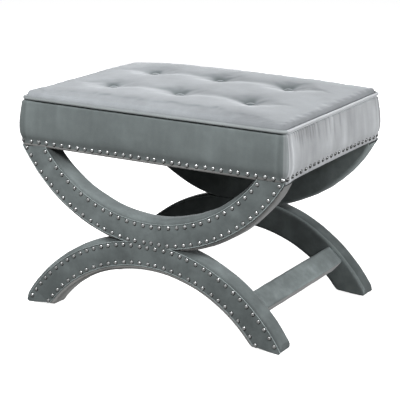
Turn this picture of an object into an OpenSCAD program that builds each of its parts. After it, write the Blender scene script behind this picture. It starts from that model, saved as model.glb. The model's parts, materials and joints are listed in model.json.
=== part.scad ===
// X-base footstool. Two upholstered frames, each made of two equal arcs that meet back to back,
// are joined by two stretchers and carry a boxed seat with a tufted top.
// X runs along the width and Y to the back, with the origin on the floor below the seat's middle.

/* [Seat] */
// Width between the tips of the feet, and over the seat's base
seat_w = 610; // [540:1:680]
// Depth over the outer faces of the two frames
seat_d = 435; // [380:1:500]
// Height of the fabric band round the seat
band_h = 94; // [86:1:120]
// Rise of the seat's crown above its rolled edge
crown_h = 17.5; // [10:0.5:22]
// Rise of the seat's rolled edge above its piping
roll_h = 7; // [4:0.5:12]
// How far the fabric band swells out above its nails
band_swell = 5; // [0:0.5:8]
// Diameter of the piping
piping_d = 7; // [5:0.5:9]

/* [Tufts] */
// Distance between neighbouring buttons
tuft_pitch = 165; // [130:1:180]
// Depth of a tuft below the crown
tuft_depth = 14; // [6:1:16]
// Diameter of a covered button
button_d = 21; // [14:0.5:24]

/* [Frames] */
// Height of a frame from its feet to the seat
frame_h = 344; // [300:1:400]
// Thickness of a frame from front to back
frame_t = 42; // [36:1:50]
// Width of an arc, seen from the front
arc_band = 58; // [52:1:70]
// Depth of the flat where an arc meets the other
crossing_cut = 7; // [4:0.5:10]
// Width of a stretcher, along the curve of the leg
stretcher_w = 44; // [34:1:48]
// Thickness of a stretcher
stretcher_t = 36; // [28:1:40]
// Angle of the stretchers above the floor, seen from the arc's centre
stretcher_angle = 48.6; // [44:0.2:56]

/* [Nails] */
// Diameter of a nail's domed head
nail_d = 10.5; // [8:0.5:11]
// Height of a nail's domed head
nail_h = 3.6; // [2:0.2:4.6]
// Nails along the front or back of the seat
front_nails = 33; // [20:1:33]
// Nails along one side of the seat
side_nails = 23; // [12:1:23]
// Nails near the outer edge of an upper arc
upper_outer_nails = 38; // [20:1:40]
// Nails near the inner edge of an upper arc
upper_inner_nails = 30; // [16:1:34]
// Nails near the outer edge of a lower arc
lower_outer_nails = 37; // [20:1:40]
// Nails near the inner edge of a lower arc
lower_inner_nails = 31; // [16:1:34]

/* [Hidden] */
$fn = 64;

// How far a cutting shape runs past what it cuts
overrun = 2;
// Play between a hole and what goes in it, on the radius
play = 0.1;

// Cloth and padding
fabric_t = 1.2;
pad_t = 5;
frame_proud = 2.5;
wrap_t = 3;
wrap_round = 3.5;
face_overhang = 3;

// Seat box
rail_h = 55;
rail_t = 22;
rail_round = 2.5;
deck_t = 9;
block_leg = 58;
block_h = 40;
block_drop = 6;
dust_t = 1;
dust_inset = 8;
dust_play = 1.5;
screw_d = 4;
screw_head_d = 8;
screw_head_h = 2.4;
screw_length = 34;
screws_along_front = 4;
screws_along_side = 2;
screw_end_in = 60;

// Shape of the fabric band, outwards from the rails
band_top_out = 2.2;
band_hem_round = 1.5;
band_swell_skew_share = 0.5;
band_steps = 10;

// Piping and crown
piping_out = 2.5;
crown_power_x = 4.9;
crown_power_y = 6.8;
roll_power_x = 26;
roll_power_y = 20;
tuft_spread = 17;
tuft_seat = 12;
tuft_columns = 3;
tuft_rows = 2;
cushion_steps = 5;
rim_steps = 5;
rim_closing_power = 2;

// Button, its twine and its washer
button_h = 5.5;
twine_d = 2.4;
twine_hole_d = 3.2;
washer_d = 18;
washer_t = 2;

// Ends of the arcs
tip_cut = 6;
round_steps = 4;

// Dowels
dowel_d = 10;
dowel_length = 50;
dowel_end_gap = 1;
crossing_dowel_x = 22;
seat_dowel_in = 12;
seat_dowel_pitch = 22;
stretcher_dowel_pitch = 18;
stretcher_inset = 4.5;

// Nail rows
outer_row_in = 9.7;
inner_row_in = 11.2;
crossing_nail_gap = 1;
upper_outer_end = 7;
upper_inner_end = 10;
lower_outer_end = 13;
lower_inner_end = 8;
nail_line_up = 8;
front_corner_in = 6;
side_corner_in = 10;

// Glides under the feet
glide_h = 3;
glide_d = 22;
glide_chamfer = 1;
glide_pin_d = 3;
glide_pin_h = 14;

// Colours
velvet = "#7d8a8f";
velvet_dark = "#5f6a6f";
wood = "#c9a877";
plywood = "#d8bd8c";
foam_yellow = "#e8dca8";
fibre = "#eeeeea";
nickel = "#b9b6ae";
black_cloth = "#2a2b2d";
black_plastic = "#303234";
twine_white = "#e5e0d2";

// Levels
crossing_z = glide_h + frame_h / 2;
frame_top = glide_h + frame_h;
deck_z = frame_top + rail_h;
foam_z = deck_z + deck_t;
band_top = frame_top + band_h;
nail_line_z = frame_top + nail_line_up;
piping_z = band_top + piping_d / 2;

// Plan of the seat box: half sizes at the rails' outer faces, and inside the piping
rail_x = seat_w / 2 - pad_t;
rail_y = seat_d / 2 - frame_proud - pad_t;
cushion_x = rail_x + piping_out - piping_d / 2;
cushion_y = rail_y + piping_out - piping_d / 2;
cushion_round = rail_round + piping_out - piping_d / 2;

// An arc's circle runs through the foot's uncut tip, and crosses the middle by crossing_cut
tip_x = seat_w / 2 + tip_cut;
arc_rise = frame_h / 2 + crossing_cut;
arc_r = (tip_x * tip_x + arc_rise * arc_rise) / (2 * arc_rise);
arc_in_r = arc_r - arc_band;
arc_up = arc_r - crossing_cut;
core_out_r = arc_r - wrap_t;
core_in_r = arc_in_r + wrap_t;
end_drop = arc_up - frame_h / 2;

// Depths in a frame, from its mid-plane: the face is outwards and the back faces the other frame
frame_y = (seat_d - frame_t) / 2;
face_at = frame_t / 2;
wrap_face_at = face_at - fabric_t;
core_face_at = wrap_face_at - wrap_t;
core_back_at = wrap_t - frame_t / 2;

// Places along an arc's end
core_end_x = sqrt(core_in_r * core_in_r - end_drop * end_drop);
foot_in_x = sqrt(arc_in_r * arc_in_r - end_drop * end_drop);
foot_mid_x = (foot_in_x + seat_w / 2) / 2;
seat_dowel_y = rail_y - rail_t / 2;

// A stretcher's middle, from the centre of the lower arcs
stretcher_r = arc_r - stretcher_inset - stretcher_t / 2;
stretcher_core_w = stretcher_w - 2 * wrap_t;
stretcher_core_t = stretcher_t - 2 * wrap_t;
stretcher_half = frame_y - frame_t / 2;
stretcher_core_half = frame_y + core_back_at;

// Places of the buttons
tuft_xs = [for (i = [0 : tuft_columns - 1]) (i - (tuft_columns - 1) / 2) * tuft_pitch];
tuft_ys = [for (i = [0 : tuft_rows - 1]) (i - (tuft_rows - 1) / 2) * tuft_pitch];
tufts = [for (x = tuft_xs, y = tuft_ys) [x, y]];

function total(values) = values * [for (v = values) 1];

// Points of a rectangle from the origin to size, with its corners rounded in short steps
function rounded_points(size, r) = [
    for (corner = [0 : 3], step = [0 : round_steps])
        let (
            a = 90 * (corner + step / round_steps) + 180,
            x = (corner == 1 || corner == 2) ? size.x - r : r,
            y = (corner == 2 || corner == 3) ? size.y - r : r
        )
        [x + r * cos(a), y + r * sin(a)]
];

module rounded_plate(half_x, half_y, r, h) {
    translate([-half_x, -half_y, 0])
        linear_extrude(height = h)
            polygon(rounded_points([2 * half_x, 2 * half_y], r));
}

// The rails' outline as a solid, from one level up to another
module rail_outline(from_z, to_z) {
    translate([0, 0, from_z])
        rounded_plate(rail_x, rail_y, rail_round, to_z - from_z);
}

// A section swept round the seat. Its x is the distance out from the rails' faces, its y the level.
module round_the_seat() {
    for (turn = [0, 180]) {
        rotate([0, 0, turn]) {
            translate([rail_x, 0, 0])
                rotate([90, 0, 0])
                    linear_extrude(height = 2 * (rail_y - rail_round), center = true)
                        children();
            translate([0, rail_y, 0])
                rotate([90, 0, 90])
                    linear_extrude(height = 2 * (rail_x - rail_round), center = true)
                        children();
            translate([rail_x - rail_round, rail_y - rail_round, 0])
                rotate_extrude(angle = 90)
                    translate([rail_round, 0])
                        children();
            translate([rail_round - rail_x, rail_y - rail_round, 0])
                rotate([0, 0, 90])
                    rotate_extrude(angle = 90)
                        translate([rail_round, 0])
                            children();
        }
    }
}

// How far the band's fabric stands out from the rails, at a share of the way up above the nails
function band_out(share) =
    pad_t + (band_top_out - pad_t) * share
    + band_swell * sin(180 * pow(share, band_swell_skew_share));

swell_z = nail_line_z + nail_d / 2;

// The band's outer side from hem to piping, drawn in by inset
function band_side(inset) = [
    [pad_t - band_hem_round, frame_top + inset],
    [pad_t - inset, frame_top + band_hem_round],
    for (i = [0 : band_steps])
        let (share = i / band_steps)
        [band_out(share) - inset, swell_z + (band_top - swell_z) * share]
];

module band_section(inset) {
    polygon(concat([[0, frame_top + inset]], band_side(inset), [[0, band_top]]));
}

// A nail's head stands on the plane z = 0
module nail_head() {
    dome_r = (pow(nail_d / 2, 2) + nail_h * nail_h) / (2 * nail_h);
    intersection() {
        translate([0, 0, nail_h - dome_r])
            sphere(dome_r);
        cylinder(h = nail_h, d = nail_d);
    }
}

// One row of nails along a side of the band: half is the side's half length, half_across the other
module band_nail_row(half, half_across, corner_in, count) {
    flat = half - rail_round;
    bend_r = rail_round + pad_t;
    last = half + pad_t - corner_in;
    for (i = [0 : count - 1]) {
        s = last * (2 * i / (count - 1) - 1);
        bend = abs(s) > flat ? asin((abs(s) - flat) / bend_r) : 0;
        out = half_across - rail_round + bend_r * cos(bend);
        translate([s, -out, nail_line_z])
            rotate([90, 0, sign(s) * bend])
                nail_head();
    }
}

// A rise that falls to nothing at the cushion's rim, the more suddenly the greater the powers
function dome_share(x, y, power_x, power_y) =
    (1 - pow(abs(x) / cushion_x, power_x)) * (1 - pow(abs(y) / cushion_y, power_y));

// Top of the seat: a broad crown on a rolled edge that falls steeply to the piping
function crown_z(x, y) =
    piping_z + fabric_t
    + roll_h * dome_share(x, y, roll_power_x, roll_power_y)
    + crown_h * dome_share(x, y, crown_power_x, crown_power_y);

// Each tuft has a level seat for its button, and eases out to the crown round it
function tuft_share(x, y, t) = exp(-pow(max(0, norm([x, y] - t) - tuft_seat * sqrt(2)) / tuft_spread, 2));

function seat_z(x, y) =
    let (free = crown_z(x, y))
    free + total([for (t = tufts) tuft_share(x, y, t) * (crown_z(t.x, t.y) - tuft_depth - free)]);

function spaced(from, to, count) = [for (i = [0 : count - 1]) from + (to - from) * i / count];

// Places from an outer tuft to the rim, closer and closer together
function closing_in(from, half) = [
    for (i = [1 : rim_steps]) half - (half - from) * pow(1 - i / rim_steps, rim_closing_power)
];

// Grid lines across the cushion, with three through each row of buttons
function cushion_lines(half, places) =
    let (outer = closing_in(places[len(places) - 1] + tuft_seat, half))
    concat(
        [for (i = [rim_steps - 1 : -1 : 0]) -outer[i]],
        [
            for (i = [0 : len(places) - 1])
                each concat(
                    [places[i] - tuft_seat, places[i]],
                    i < len(places) - 1
                        ? spaced(places[i] + tuft_seat, places[i + 1] - tuft_seat, cushion_steps)
                        : [places[i] + tuft_seat]
                )
        ],
        outer
    );

cushion_xs = cushion_lines(cushion_x, tuft_xs);
cushion_ys = cushion_lines(cushion_y, tuft_ys);
columns = len(cushion_xs);
rows = len(cushion_ys);

// Draws a corner of the grid in to the rounded outline
function in_outline(x, y) =
    let (
        over_x = abs(x) - (cushion_x - cushion_round),
        over_y = abs(y) - (cushion_y - cushion_round),
        over = norm([over_x, over_y])
    )
    over_x > 0 && over_y > 0 && over > cushion_round
        ? [
            sign(x) * (cushion_x - cushion_round + over_x * cushion_round / over),
            sign(y) * (cushion_y - cushion_round + over_y * cushion_round / over)
        ]
        : [x, y];

function sheet_points(drop) = [
    for (y = cushion_ys, x = cushion_xs)
        let (p = in_outline(x, y))
        [p.x, p.y, seat_z(x, y) - drop]
];

// Triangles of a grid that starts at point number first, seen from above or from below
function sheet_faces(first, upwards) = [
    for (j = [0 : rows - 2], i = [0 : columns - 2])
        let (
            a = first + j * columns + i,
            b = a + 1,
            c = b + columns,
            d = a + columns
        )
        each (upwards ? [[a, c, b], [a, d, c]] : [[a, b, c], [a, c, d]])
];

// Point numbers round the grid's rim, anticlockwise from above
rim = concat(
    [for (i = [0 : columns - 2]) i],
    [for (j = [0 : rows - 2]) j * columns + columns - 1],
    [for (i = [columns - 1 : -1 : 1]) (rows - 1) * columns + i],
    [for (j = [rows - 1 : -1 : 1]) j * columns]
);

function rim_faces(upper, lower) = [
    for (i = [0 : len(rim) - 1])
        let (
            a = rim[i],
            b = rim[(i + 1) % len(rim)]
        )
        each [[upper + a, upper + b, lower + b], [upper + a, lower + b, lower + a]]
];

// A ring about the Y axis, from a section whose x is the radius and whose y points to the front
module ring() {
    translate([0, 0, arc_up])
        rotate([90, 0, 0])
            rotate_extrude()
                children();
}

// The part of the plane of a frame that an arc fills, with its crossing flat at z = 0
module arc_zone(side_in, end_in, below, above) {
    translate([side_in - seat_w / 2, -frame_t, -below])
        cube([seat_w - 2 * side_in, 2 * frame_t, frame_h / 2 - end_in + below + above]);
}

module core_ring() {
    ring()
        translate([core_in_r, core_back_at])
            square([core_out_r - core_in_r, core_face_at - core_back_at]);
}

// Holes for the two dowels that join the arcs of a frame
module crossing_holes() {
    for (x = [-crossing_dowel_x, crossing_dowel_x])
        translate([x, 0, -overrun])
            cylinder(h = dowel_length / 2 + dowel_end_gap + overrun, r = dowel_d / 2 + play);
}

// The wooden heart of an arc. Its far end is drawn in by end_in, to leave room for cloth.
module arc_core(end_in) {
    difference() {
        intersection() {
            core_ring();
            arc_zone(wrap_t, end_in, 0, 0);
        }
        crossing_holes();
        children();
    }
}

// Cloth and wadding round an arc, open at the crossing and over the wood's far end
module arc_wrap(end_in, end_over) {
    difference() {
        intersection() {
            ring()
                translate([arc_in_r, -frame_t / 2])
                    polygon(rounded_points([arc_band, frame_t - fabric_t], wrap_round));
            arc_zone(0, 0, 0, 0);
        }
        intersection() {
            core_ring();
            arc_zone(wrap_t, end_in, overrun, end_over);
        }
        children();
    }
}

// The face panel, whose turned edges run just past the two rows of nails
module arc_face() {
    inner = arc_in_r + inner_row_in - face_overhang;
    outer = arc_r - outer_row_in + face_overhang;
    intersection() {
        ring()
            translate([inner, wrap_face_at])
                square([outer - inner, fabric_t]);
        arc_zone(0, 0, 0, 0);
    }
}

// Nails along a circle, kept clear of the other arc's nails at the crossing
module arc_nail_row(r, end_in, count) {
    last = acos((end_drop + end_in) / r);
    for (i = [0 : count - 1]) {
        a = last * (2 * i / (count - 1) - 1);
        z = max(arc_up - r * cos(a), (nail_d + crossing_nail_gap) / 2);
        translate([r * sin(a), -face_at, z])
            rotate([90, 0, 0])
                nail_head();
    }
}

module arc_nails(outer_end, outer_count, inner_end, inner_count) {
    arc_nail_row(arc_r - outer_row_in, outer_end, outer_count);
    arc_nail_row(arc_in_r + inner_row_in, inner_end, inner_count);
}

// Places a frame's piece: shapes are drawn from the crossing, about the frame's mid-plane
module in_frame(back, lower) {
    rotate([0, 0, back ? 180 : 0])
        translate([0, -frame_y, crossing_z])
            mirror([0, 0, lower ? 1 : 0])
                children();
}

module seat_dowel_places() {
    for (side = [-1, 1], n = [0, 1])
        translate([side * (core_end_x + seat_dowel_in + n * seat_dowel_pitch), 0, 0])
            children();
}

module upper_core() {
    arc_core(0) {
        translate([0, frame_y - seat_dowel_y, frame_h / 2 - dowel_length / 2 - dowel_end_gap])
            seat_dowel_places()
                cylinder(h = dowel_length, r = dowel_d / 2 + play);
    }
}

// Places something at a stretcher, seen from the crossing of the lower arcs: x runs along the
// leg's curve and y out from the arc's centre
module at_stretcher(side) {
    translate([0, 0, arc_up])
        rotate([0, side * (90 - stretcher_angle), 0])
            translate([0, 0, -stretcher_r])
                children();
}

module lower_core() {
    arc_core(wrap_t) {
        for (side = [-1, 1])
            at_stretcher(-side)
                for (x = [-stretcher_dowel_pitch / 2, stretcher_dowel_pitch / 2])
                    translate([x, -core_back_at + overrun, 0])
                        rotate([90, 0, 0])
                            cylinder(h = dowel_length / 2 + overrun, r = dowel_d / 2 + play);
        glide_pin_holes();
    }
}

module glide_pin_holes() {
    for (side = [-1, 1])
        translate([side * foot_mid_x, 0, frame_h / 2 - glide_pin_h - overrun])
            cylinder(h = glide_pin_h + 2 * overrun, r = glide_pin_d / 2 + play);
}

module lower_wrap() {
    arc_wrap(wrap_t, 0) {
        for (side = [-1, 1])
            at_stretcher(-side)
                translate([-stretcher_core_w / 2, -core_back_at - wrap_t / 2, -stretcher_core_t / 2])
                    cube([stretcher_core_w, 2 * wrap_t, stretcher_core_t]);
        glide_pin_holes();
    }
}

module front_rail() {
    color(wood) rail_front_back(1);
}

module back_rail() {
    color(wood) rail_front_back(-1);
}

module rail_screw_holes() {
    translate([0, 0, deck_z + deck_t])
        deck_screw_places()
            translate([0, 0, -screw_length - dowel_end_gap])
                cylinder(h = screw_length + overrun, r = screw_d / 2 + play);
}

module rail_front_back(side) {
    difference() {
        intersection() {
            rail_outline(frame_top, deck_z);
            translate([-rail_x, side > 0 ? -rail_y : rail_y - rail_t, frame_top])
                cube([2 * rail_x, rail_t, rail_h]);
        }
        translate([0, -side * seat_dowel_y, frame_top - overrun])
            seat_dowel_places()
                cylinder(h = dowel_length / 2 + dowel_end_gap + overrun, r = dowel_d / 2 + play);
        rail_screw_holes();
    }
}

module rail_side(side) {
    difference() {
        translate([side > 0 ? rail_x - rail_t : -rail_x, rail_t - rail_y, frame_top])
            cube([rail_t, 2 * (rail_y - rail_t), rail_h]);
        rail_screw_holes();
    }
}

module left_rail() {
    color(wood) rail_side(-1);
}

module right_rail() {
    color(wood) rail_side(1);
}

// Glue blocks in the four corners of the seat box
module corner_blocks() {
    color(wood)
        for (sx = [-1, 1], sy = [-1, 1])
            translate([sx * (rail_x - rail_t), sy * (rail_y - rail_t), frame_top + block_drop])
                linear_extrude(height = block_h)
                    polygon([[0, 0], [-sx * block_leg, 0], [0, -sy * block_leg]]);
}

module deck_screw_places() {
    for (i = [0 : screws_along_front - 1], sy = [-1, 1])
        translate([
            (rail_x - screw_end_in) * (2 * i / (screws_along_front - 1) - 1), sy * (rail_y - rail_t / 2), 0
        ])
            children();
    for (i = [0 : screws_along_side - 1], sx = [-1, 1])
        translate([
            sx * (rail_x - rail_t / 2), (rail_y - screw_end_in) * (2 * i / (screws_along_side - 1) - 1), 0
        ])
            children();
}

module seat_deck() {
    color(plywood)
        difference() {
            rail_outline(deck_z, foam_z);
            for (t = tufts)
                translate([t.x, t.y, deck_z - overrun])
                    cylinder(h = deck_t + 2 * overrun, d = twine_hole_d);
            translate([0, 0, foam_z])
                deck_screw_places() {
                    translate([0, 0, -deck_t - overrun])
                        cylinder(h = deck_t + 2 * overrun, r = screw_d / 2 + play);
                    translate([0, 0, -screw_head_h - play])
                        cylinder(h = screw_head_h + overrun, r = screw_head_d / 2 + play);
                }
        }
}

// Screws with flat heads, sunk into the deck
module deck_screws() {
    color(nickel)
        translate([0, 0, foam_z])
            deck_screw_places() {
                translate([0, 0, -screw_length])
                    cylinder(h = screw_length, d = screw_d);
                translate([0, 0, -screw_head_h])
                    cylinder(h = screw_head_h, d = screw_head_d);
            }
}

module seat_foam() {
    points = columns * rows;
    base = [for (y = cushion_ys, x = cushion_xs) let (p = in_outline(x, y)) [p.x, p.y, foam_z]];
    color(foam_yellow)
        difference() {
            polyhedron(
                points = concat(sheet_points(fabric_t), [for (n = rim) base[n]], [[0, 0, foam_z]]),
                faces = concat(
                    sheet_faces(0, true),
                    [
                        for (i = [0 : len(rim) - 1])
                            let (
                                next = (i + 1) % len(rim),
                                a = rim[i],
                                b = rim[next],
                                c = points + next,
                                d = points + i,
                                middle = points + len(rim)
                            )
                            each [[a, b, c], [a, c, d], [d, c, middle]]
                    ]
                )
            );
            for (t = tufts)
                translate([t.x, t.y, foam_z - overrun])
                    cylinder(h = band_h, d = twine_hole_d);
        }
}

module seat_cover() {
    points = columns * rows;
    color(velvet)
        difference() {
            polyhedron(
                points = concat(sheet_points(0), sheet_points(fabric_t)),
                faces = concat(sheet_faces(0, true), sheet_faces(points, false), rim_faces(0, points))
            );
            for (t = tufts)
                translate([t.x, t.y, foam_z])
                    cylinder(h = band_h, d = twine_hole_d);
        }
}

module seat_piping() {
    color(velvet_dark)
        round_the_seat()
            translate([piping_out, piping_z])
                circle(d = piping_d);
}

module band_wadding() {
    color(fibre)
        round_the_seat()
            band_section(fabric_t);
}

module band_cover() {
    color(velvet)
        round_the_seat()
            difference() {
                band_section(0);
                band_section(fabric_t);
            }
}

module band_nails() {
    color(nickel)
        for (turn = [0, 180])
            rotate([0, 0, turn]) {
                band_nail_row(rail_x, rail_y, front_corner_in, front_nails);
                rotate([0, 0, 90])
                    band_nail_row(rail_y, rail_x, side_corner_in, side_nails);
            }
}

// Covered buttons, domed above and flat where they press on the cover
module tuft_buttons() {
    dome_r = (pow(button_d / 2, 2) + button_h * button_h) / (2 * button_h);
    color(velvet)
        for (t = tufts)
            translate([t.x, t.y, seat_z(t.x, t.y)])
                intersection() {
                    translate([0, 0, button_h - dome_r])
                        sphere(dome_r);
                    cylinder(h = button_h, d = button_d);
                }
}

module tuft_twines() {
    color(twine_white)
        for (t = tufts)
            translate([t.x, t.y, deck_z - washer_t])
                cylinder(h = seat_z(t.x, t.y) - deck_z + washer_t, d = twine_d);
}

module tuft_washers() {
    color(black_plastic)
        for (t = tufts)
            translate([t.x, t.y, deck_z - washer_t])
                difference() {
                    cylinder(h = washer_t, d = washer_d);
                    translate([0, 0, -overrun])
                        cylinder(h = washer_t + 2 * overrun, d = twine_hole_d);
                }
}

// Black cloth under the seat box, notched round the frames' ends
module dust_cover() {
    half_x = rail_x - dust_inset;
    half_y = rail_y - dust_inset;
    notch_x = foot_in_x - dust_play;
    notch_y = seat_d / 2 - frame_t - dust_play;
    color(black_cloth)
        translate([0, 0, frame_top - dust_t])
            difference() {
                translate([-half_x, -half_y, 0])
                    cube([2 * half_x, 2 * half_y, dust_t]);
                for (sx = [-1, 1], sy = [-1, 1])
                    translate([sx > 0 ? notch_x : -seat_w, sy > 0 ? notch_y : -seat_d, -overrun])
                        cube([seat_w - notch_x, seat_d - notch_y, dust_t + 2 * overrun]);
            }
}

module front_upper_core() {
    color(wood) in_frame(false, false) upper_core();
}

module front_upper_wrap() {
    color(velvet) in_frame(false, false) arc_wrap(0, overrun);
}

module front_upper_face() {
    color(velvet_dark) in_frame(false, false) arc_face();
}

module front_upper_nails() {
    color(nickel) in_frame(false, false)
        arc_nails(upper_outer_end, upper_outer_nails, upper_inner_end, upper_inner_nails);
}

module front_lower_core() {
    color(wood) in_frame(false, true) lower_core();
}

module front_lower_wrap() {
    color(velvet) in_frame(false, true) lower_wrap();
}

module front_lower_face() {
    color(velvet_dark) in_frame(false, true) arc_face();
}

module front_lower_nails() {
    color(nickel) in_frame(false, true)
        arc_nails(lower_outer_end, lower_outer_nails, lower_inner_end, lower_inner_nails);
}

module back_upper_core() {
    color(wood) in_frame(true, false) upper_core();
}

module back_upper_wrap() {
    color(velvet) in_frame(true, false) arc_wrap(0, overrun);
}

module back_upper_face() {
    color(velvet_dark) in_frame(true, false) arc_face();
}

module back_upper_nails() {
    color(nickel) in_frame(true, false)
        arc_nails(upper_outer_end, upper_outer_nails, upper_inner_end, upper_inner_nails);
}

module back_lower_core() {
    color(wood) in_frame(true, true) lower_core();
}

module back_lower_wrap() {
    color(velvet) in_frame(true, true) lower_wrap();
}

module back_lower_face() {
    color(velvet_dark) in_frame(true, true) arc_face();
}

module back_lower_nails() {
    color(nickel) in_frame(true, true)
        arc_nails(lower_outer_end, lower_outer_nails, lower_inner_end, lower_inner_nails);
}

module crossing_dowels() {
    color(plywood)
        for (back = [false, true])
            in_frame(back, false)
                for (x = [-crossing_dowel_x, crossing_dowel_x])
                    translate([x, 0, -dowel_length / 2])
                        cylinder(h = dowel_length, d = dowel_d);
}

module seat_dowels() {
    color(plywood)
        for (back = [false, true])
            in_frame(back, false)
                translate([0, frame_y - seat_dowel_y, (frame_h - dowel_length) / 2])
                    seat_dowel_places()
                        cylinder(h = dowel_length, d = dowel_d);
}

module stretcher_dowels() {
    color(plywood)
        for (back = [false, true], side = [-1, 1])
            in_frame(back, true)
                at_stretcher(side)
                    for (x = [-stretcher_dowel_pitch / 2, stretcher_dowel_pitch / 2])
                        translate([x, dowel_length / 2 - core_back_at, 0])
                            rotate([90, 0, 0])
                                cylinder(h = dowel_length - dowel_end_gap, d = dowel_d);
}

// A bar along Y at a stretcher's place, from a section drawn about its middle
module stretcher_bar(side, half) {
    translate([0, 0, crossing_z])
        mirror([0, 0, 1])
            at_stretcher(-side)
                rotate([90, 0, 0])
                    linear_extrude(height = 2 * half, center = true)
                        children();
}

module stretcher_core(side) {
    difference() {
        stretcher_bar(side, stretcher_core_half)
            square([stretcher_core_w, stretcher_core_t], center = true);
        for (back = [false, true])
            in_frame(back, true)
                at_stretcher(back ? side : -side)
                    for (x = [-stretcher_dowel_pitch / 2, stretcher_dowel_pitch / 2])
                        translate([x, dowel_length / 2 + dowel_end_gap - core_back_at, 0])
                            rotate([90, 0, 0])
                                cylinder(h = dowel_length, r = dowel_d / 2 + play);
    }
}

module stretcher_cover(side) {
    stretcher_bar(side, stretcher_half)
        difference() {
            translate([-stretcher_w / 2, -stretcher_t / 2])
                polygon(rounded_points([stretcher_w, stretcher_t], wrap_round));
            square([stretcher_core_w, stretcher_core_t], center = true);
        }
}

module right_stretcher_core() {
    color(wood) stretcher_core(1);
}

module right_stretcher_cover() {
    color(velvet) stretcher_cover(1);
}

module left_stretcher_core() {
    color(wood) stretcher_core(-1);
}

module left_stretcher_cover() {
    color(velvet) stretcher_cover(-1);
}

// Nail-on glides, one under each foot
module foot_glides() {
    color(black_plastic)
        for (sx = [-1, 1], sy = [-1, 1])
            translate([sx * foot_mid_x, sy * frame_y, 0]) {
                cylinder(h = glide_h, d1 = glide_d - 2 * glide_chamfer, d2 = glide_d);
                cylinder(h = glide_h + glide_pin_h, d = glide_pin_d);
            }
}

front_rail();
back_rail();
left_rail();
right_rail();
corner_blocks();
seat_deck();
deck_screws();
seat_foam();
seat_cover();
seat_piping();
band_wadding();
band_cover();
band_nails();
tuft_buttons();
tuft_twines();
tuft_washers();
dust_cover();
front_upper_core();
front_upper_wrap();
front_upper_face();
front_upper_nails();
front_lower_core();
front_lower_wrap();
front_lower_face();
front_lower_nails();
back_upper_core();
back_upper_wrap();
back_upper_face();
back_upper_nails();
back_lower_core();
back_lower_wrap();
back_lower_face();
back_lower_nails();
crossing_dowels();
seat_dowels();
stretcher_dowels();
right_stretcher_core();
right_stretcher_cover();
left_stretcher_core();
left_stretcher_cover();
foot_glides();
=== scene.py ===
"""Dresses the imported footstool: velvet covers, piping, a tufted seat, domed nails and a plain stage."""

import json
import math
import random

import bpy
import numpy as np
from mathutils import Matrix, Vector, noise


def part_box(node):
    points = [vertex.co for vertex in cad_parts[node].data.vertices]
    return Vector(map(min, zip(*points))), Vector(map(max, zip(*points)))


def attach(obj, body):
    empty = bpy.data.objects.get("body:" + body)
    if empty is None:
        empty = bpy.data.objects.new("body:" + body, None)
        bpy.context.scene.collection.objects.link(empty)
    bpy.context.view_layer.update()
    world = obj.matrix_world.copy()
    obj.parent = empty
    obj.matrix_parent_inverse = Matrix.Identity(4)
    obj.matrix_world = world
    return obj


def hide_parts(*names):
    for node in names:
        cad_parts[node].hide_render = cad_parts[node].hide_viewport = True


bl_info = {
    "name": "X-base Footstool",
    "version": (1, 0, 0),
    "blender": (4, 5, 0),
    "location": "3D View > Sidebar > Footstool",
    "description": "Dresses a footstool's frame with velvet, piping, buttons and domed nails",
    "category": "Object",
}

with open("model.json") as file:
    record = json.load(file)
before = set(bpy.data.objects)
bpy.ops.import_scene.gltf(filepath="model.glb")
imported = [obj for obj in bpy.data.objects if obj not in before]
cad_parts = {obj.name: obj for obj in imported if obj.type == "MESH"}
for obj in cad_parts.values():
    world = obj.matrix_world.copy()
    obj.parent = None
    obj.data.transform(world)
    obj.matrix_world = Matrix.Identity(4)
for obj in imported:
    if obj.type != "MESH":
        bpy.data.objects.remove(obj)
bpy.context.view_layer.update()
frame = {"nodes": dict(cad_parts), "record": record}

NAIL_RADIUS = 0.00525
# Two places nearer than this are one place, and a length below this is none
TOUCHING, TINY = 1e-7, 1e-9


def half_size(node, axis):
    """Half the length of a CAD node along an axis, for a node that is centred on the origin."""
    low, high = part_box(node)
    return (high[axis] - low[axis]) / 2


def level(node, end):
    """Lowest (0) or highest (1) level of a CAD node."""
    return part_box(node)[end].z


def length_prop(name, description, default):
    return bpy.props.FloatProperty(
        name=name, description=description, default=default, unit="LENGTH", subtype="DISTANCE", precision=4
    )


def count_prop(name, description, default):
    return bpy.props.IntProperty(name=name, description=description, default=default, min=0)


def colour_prop(name, description, default):
    return bpy.props.FloatVectorProperty(
        name=name, description=description, default=default, size=3, min=0, max=1, subtype="COLOR"
    )


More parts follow.
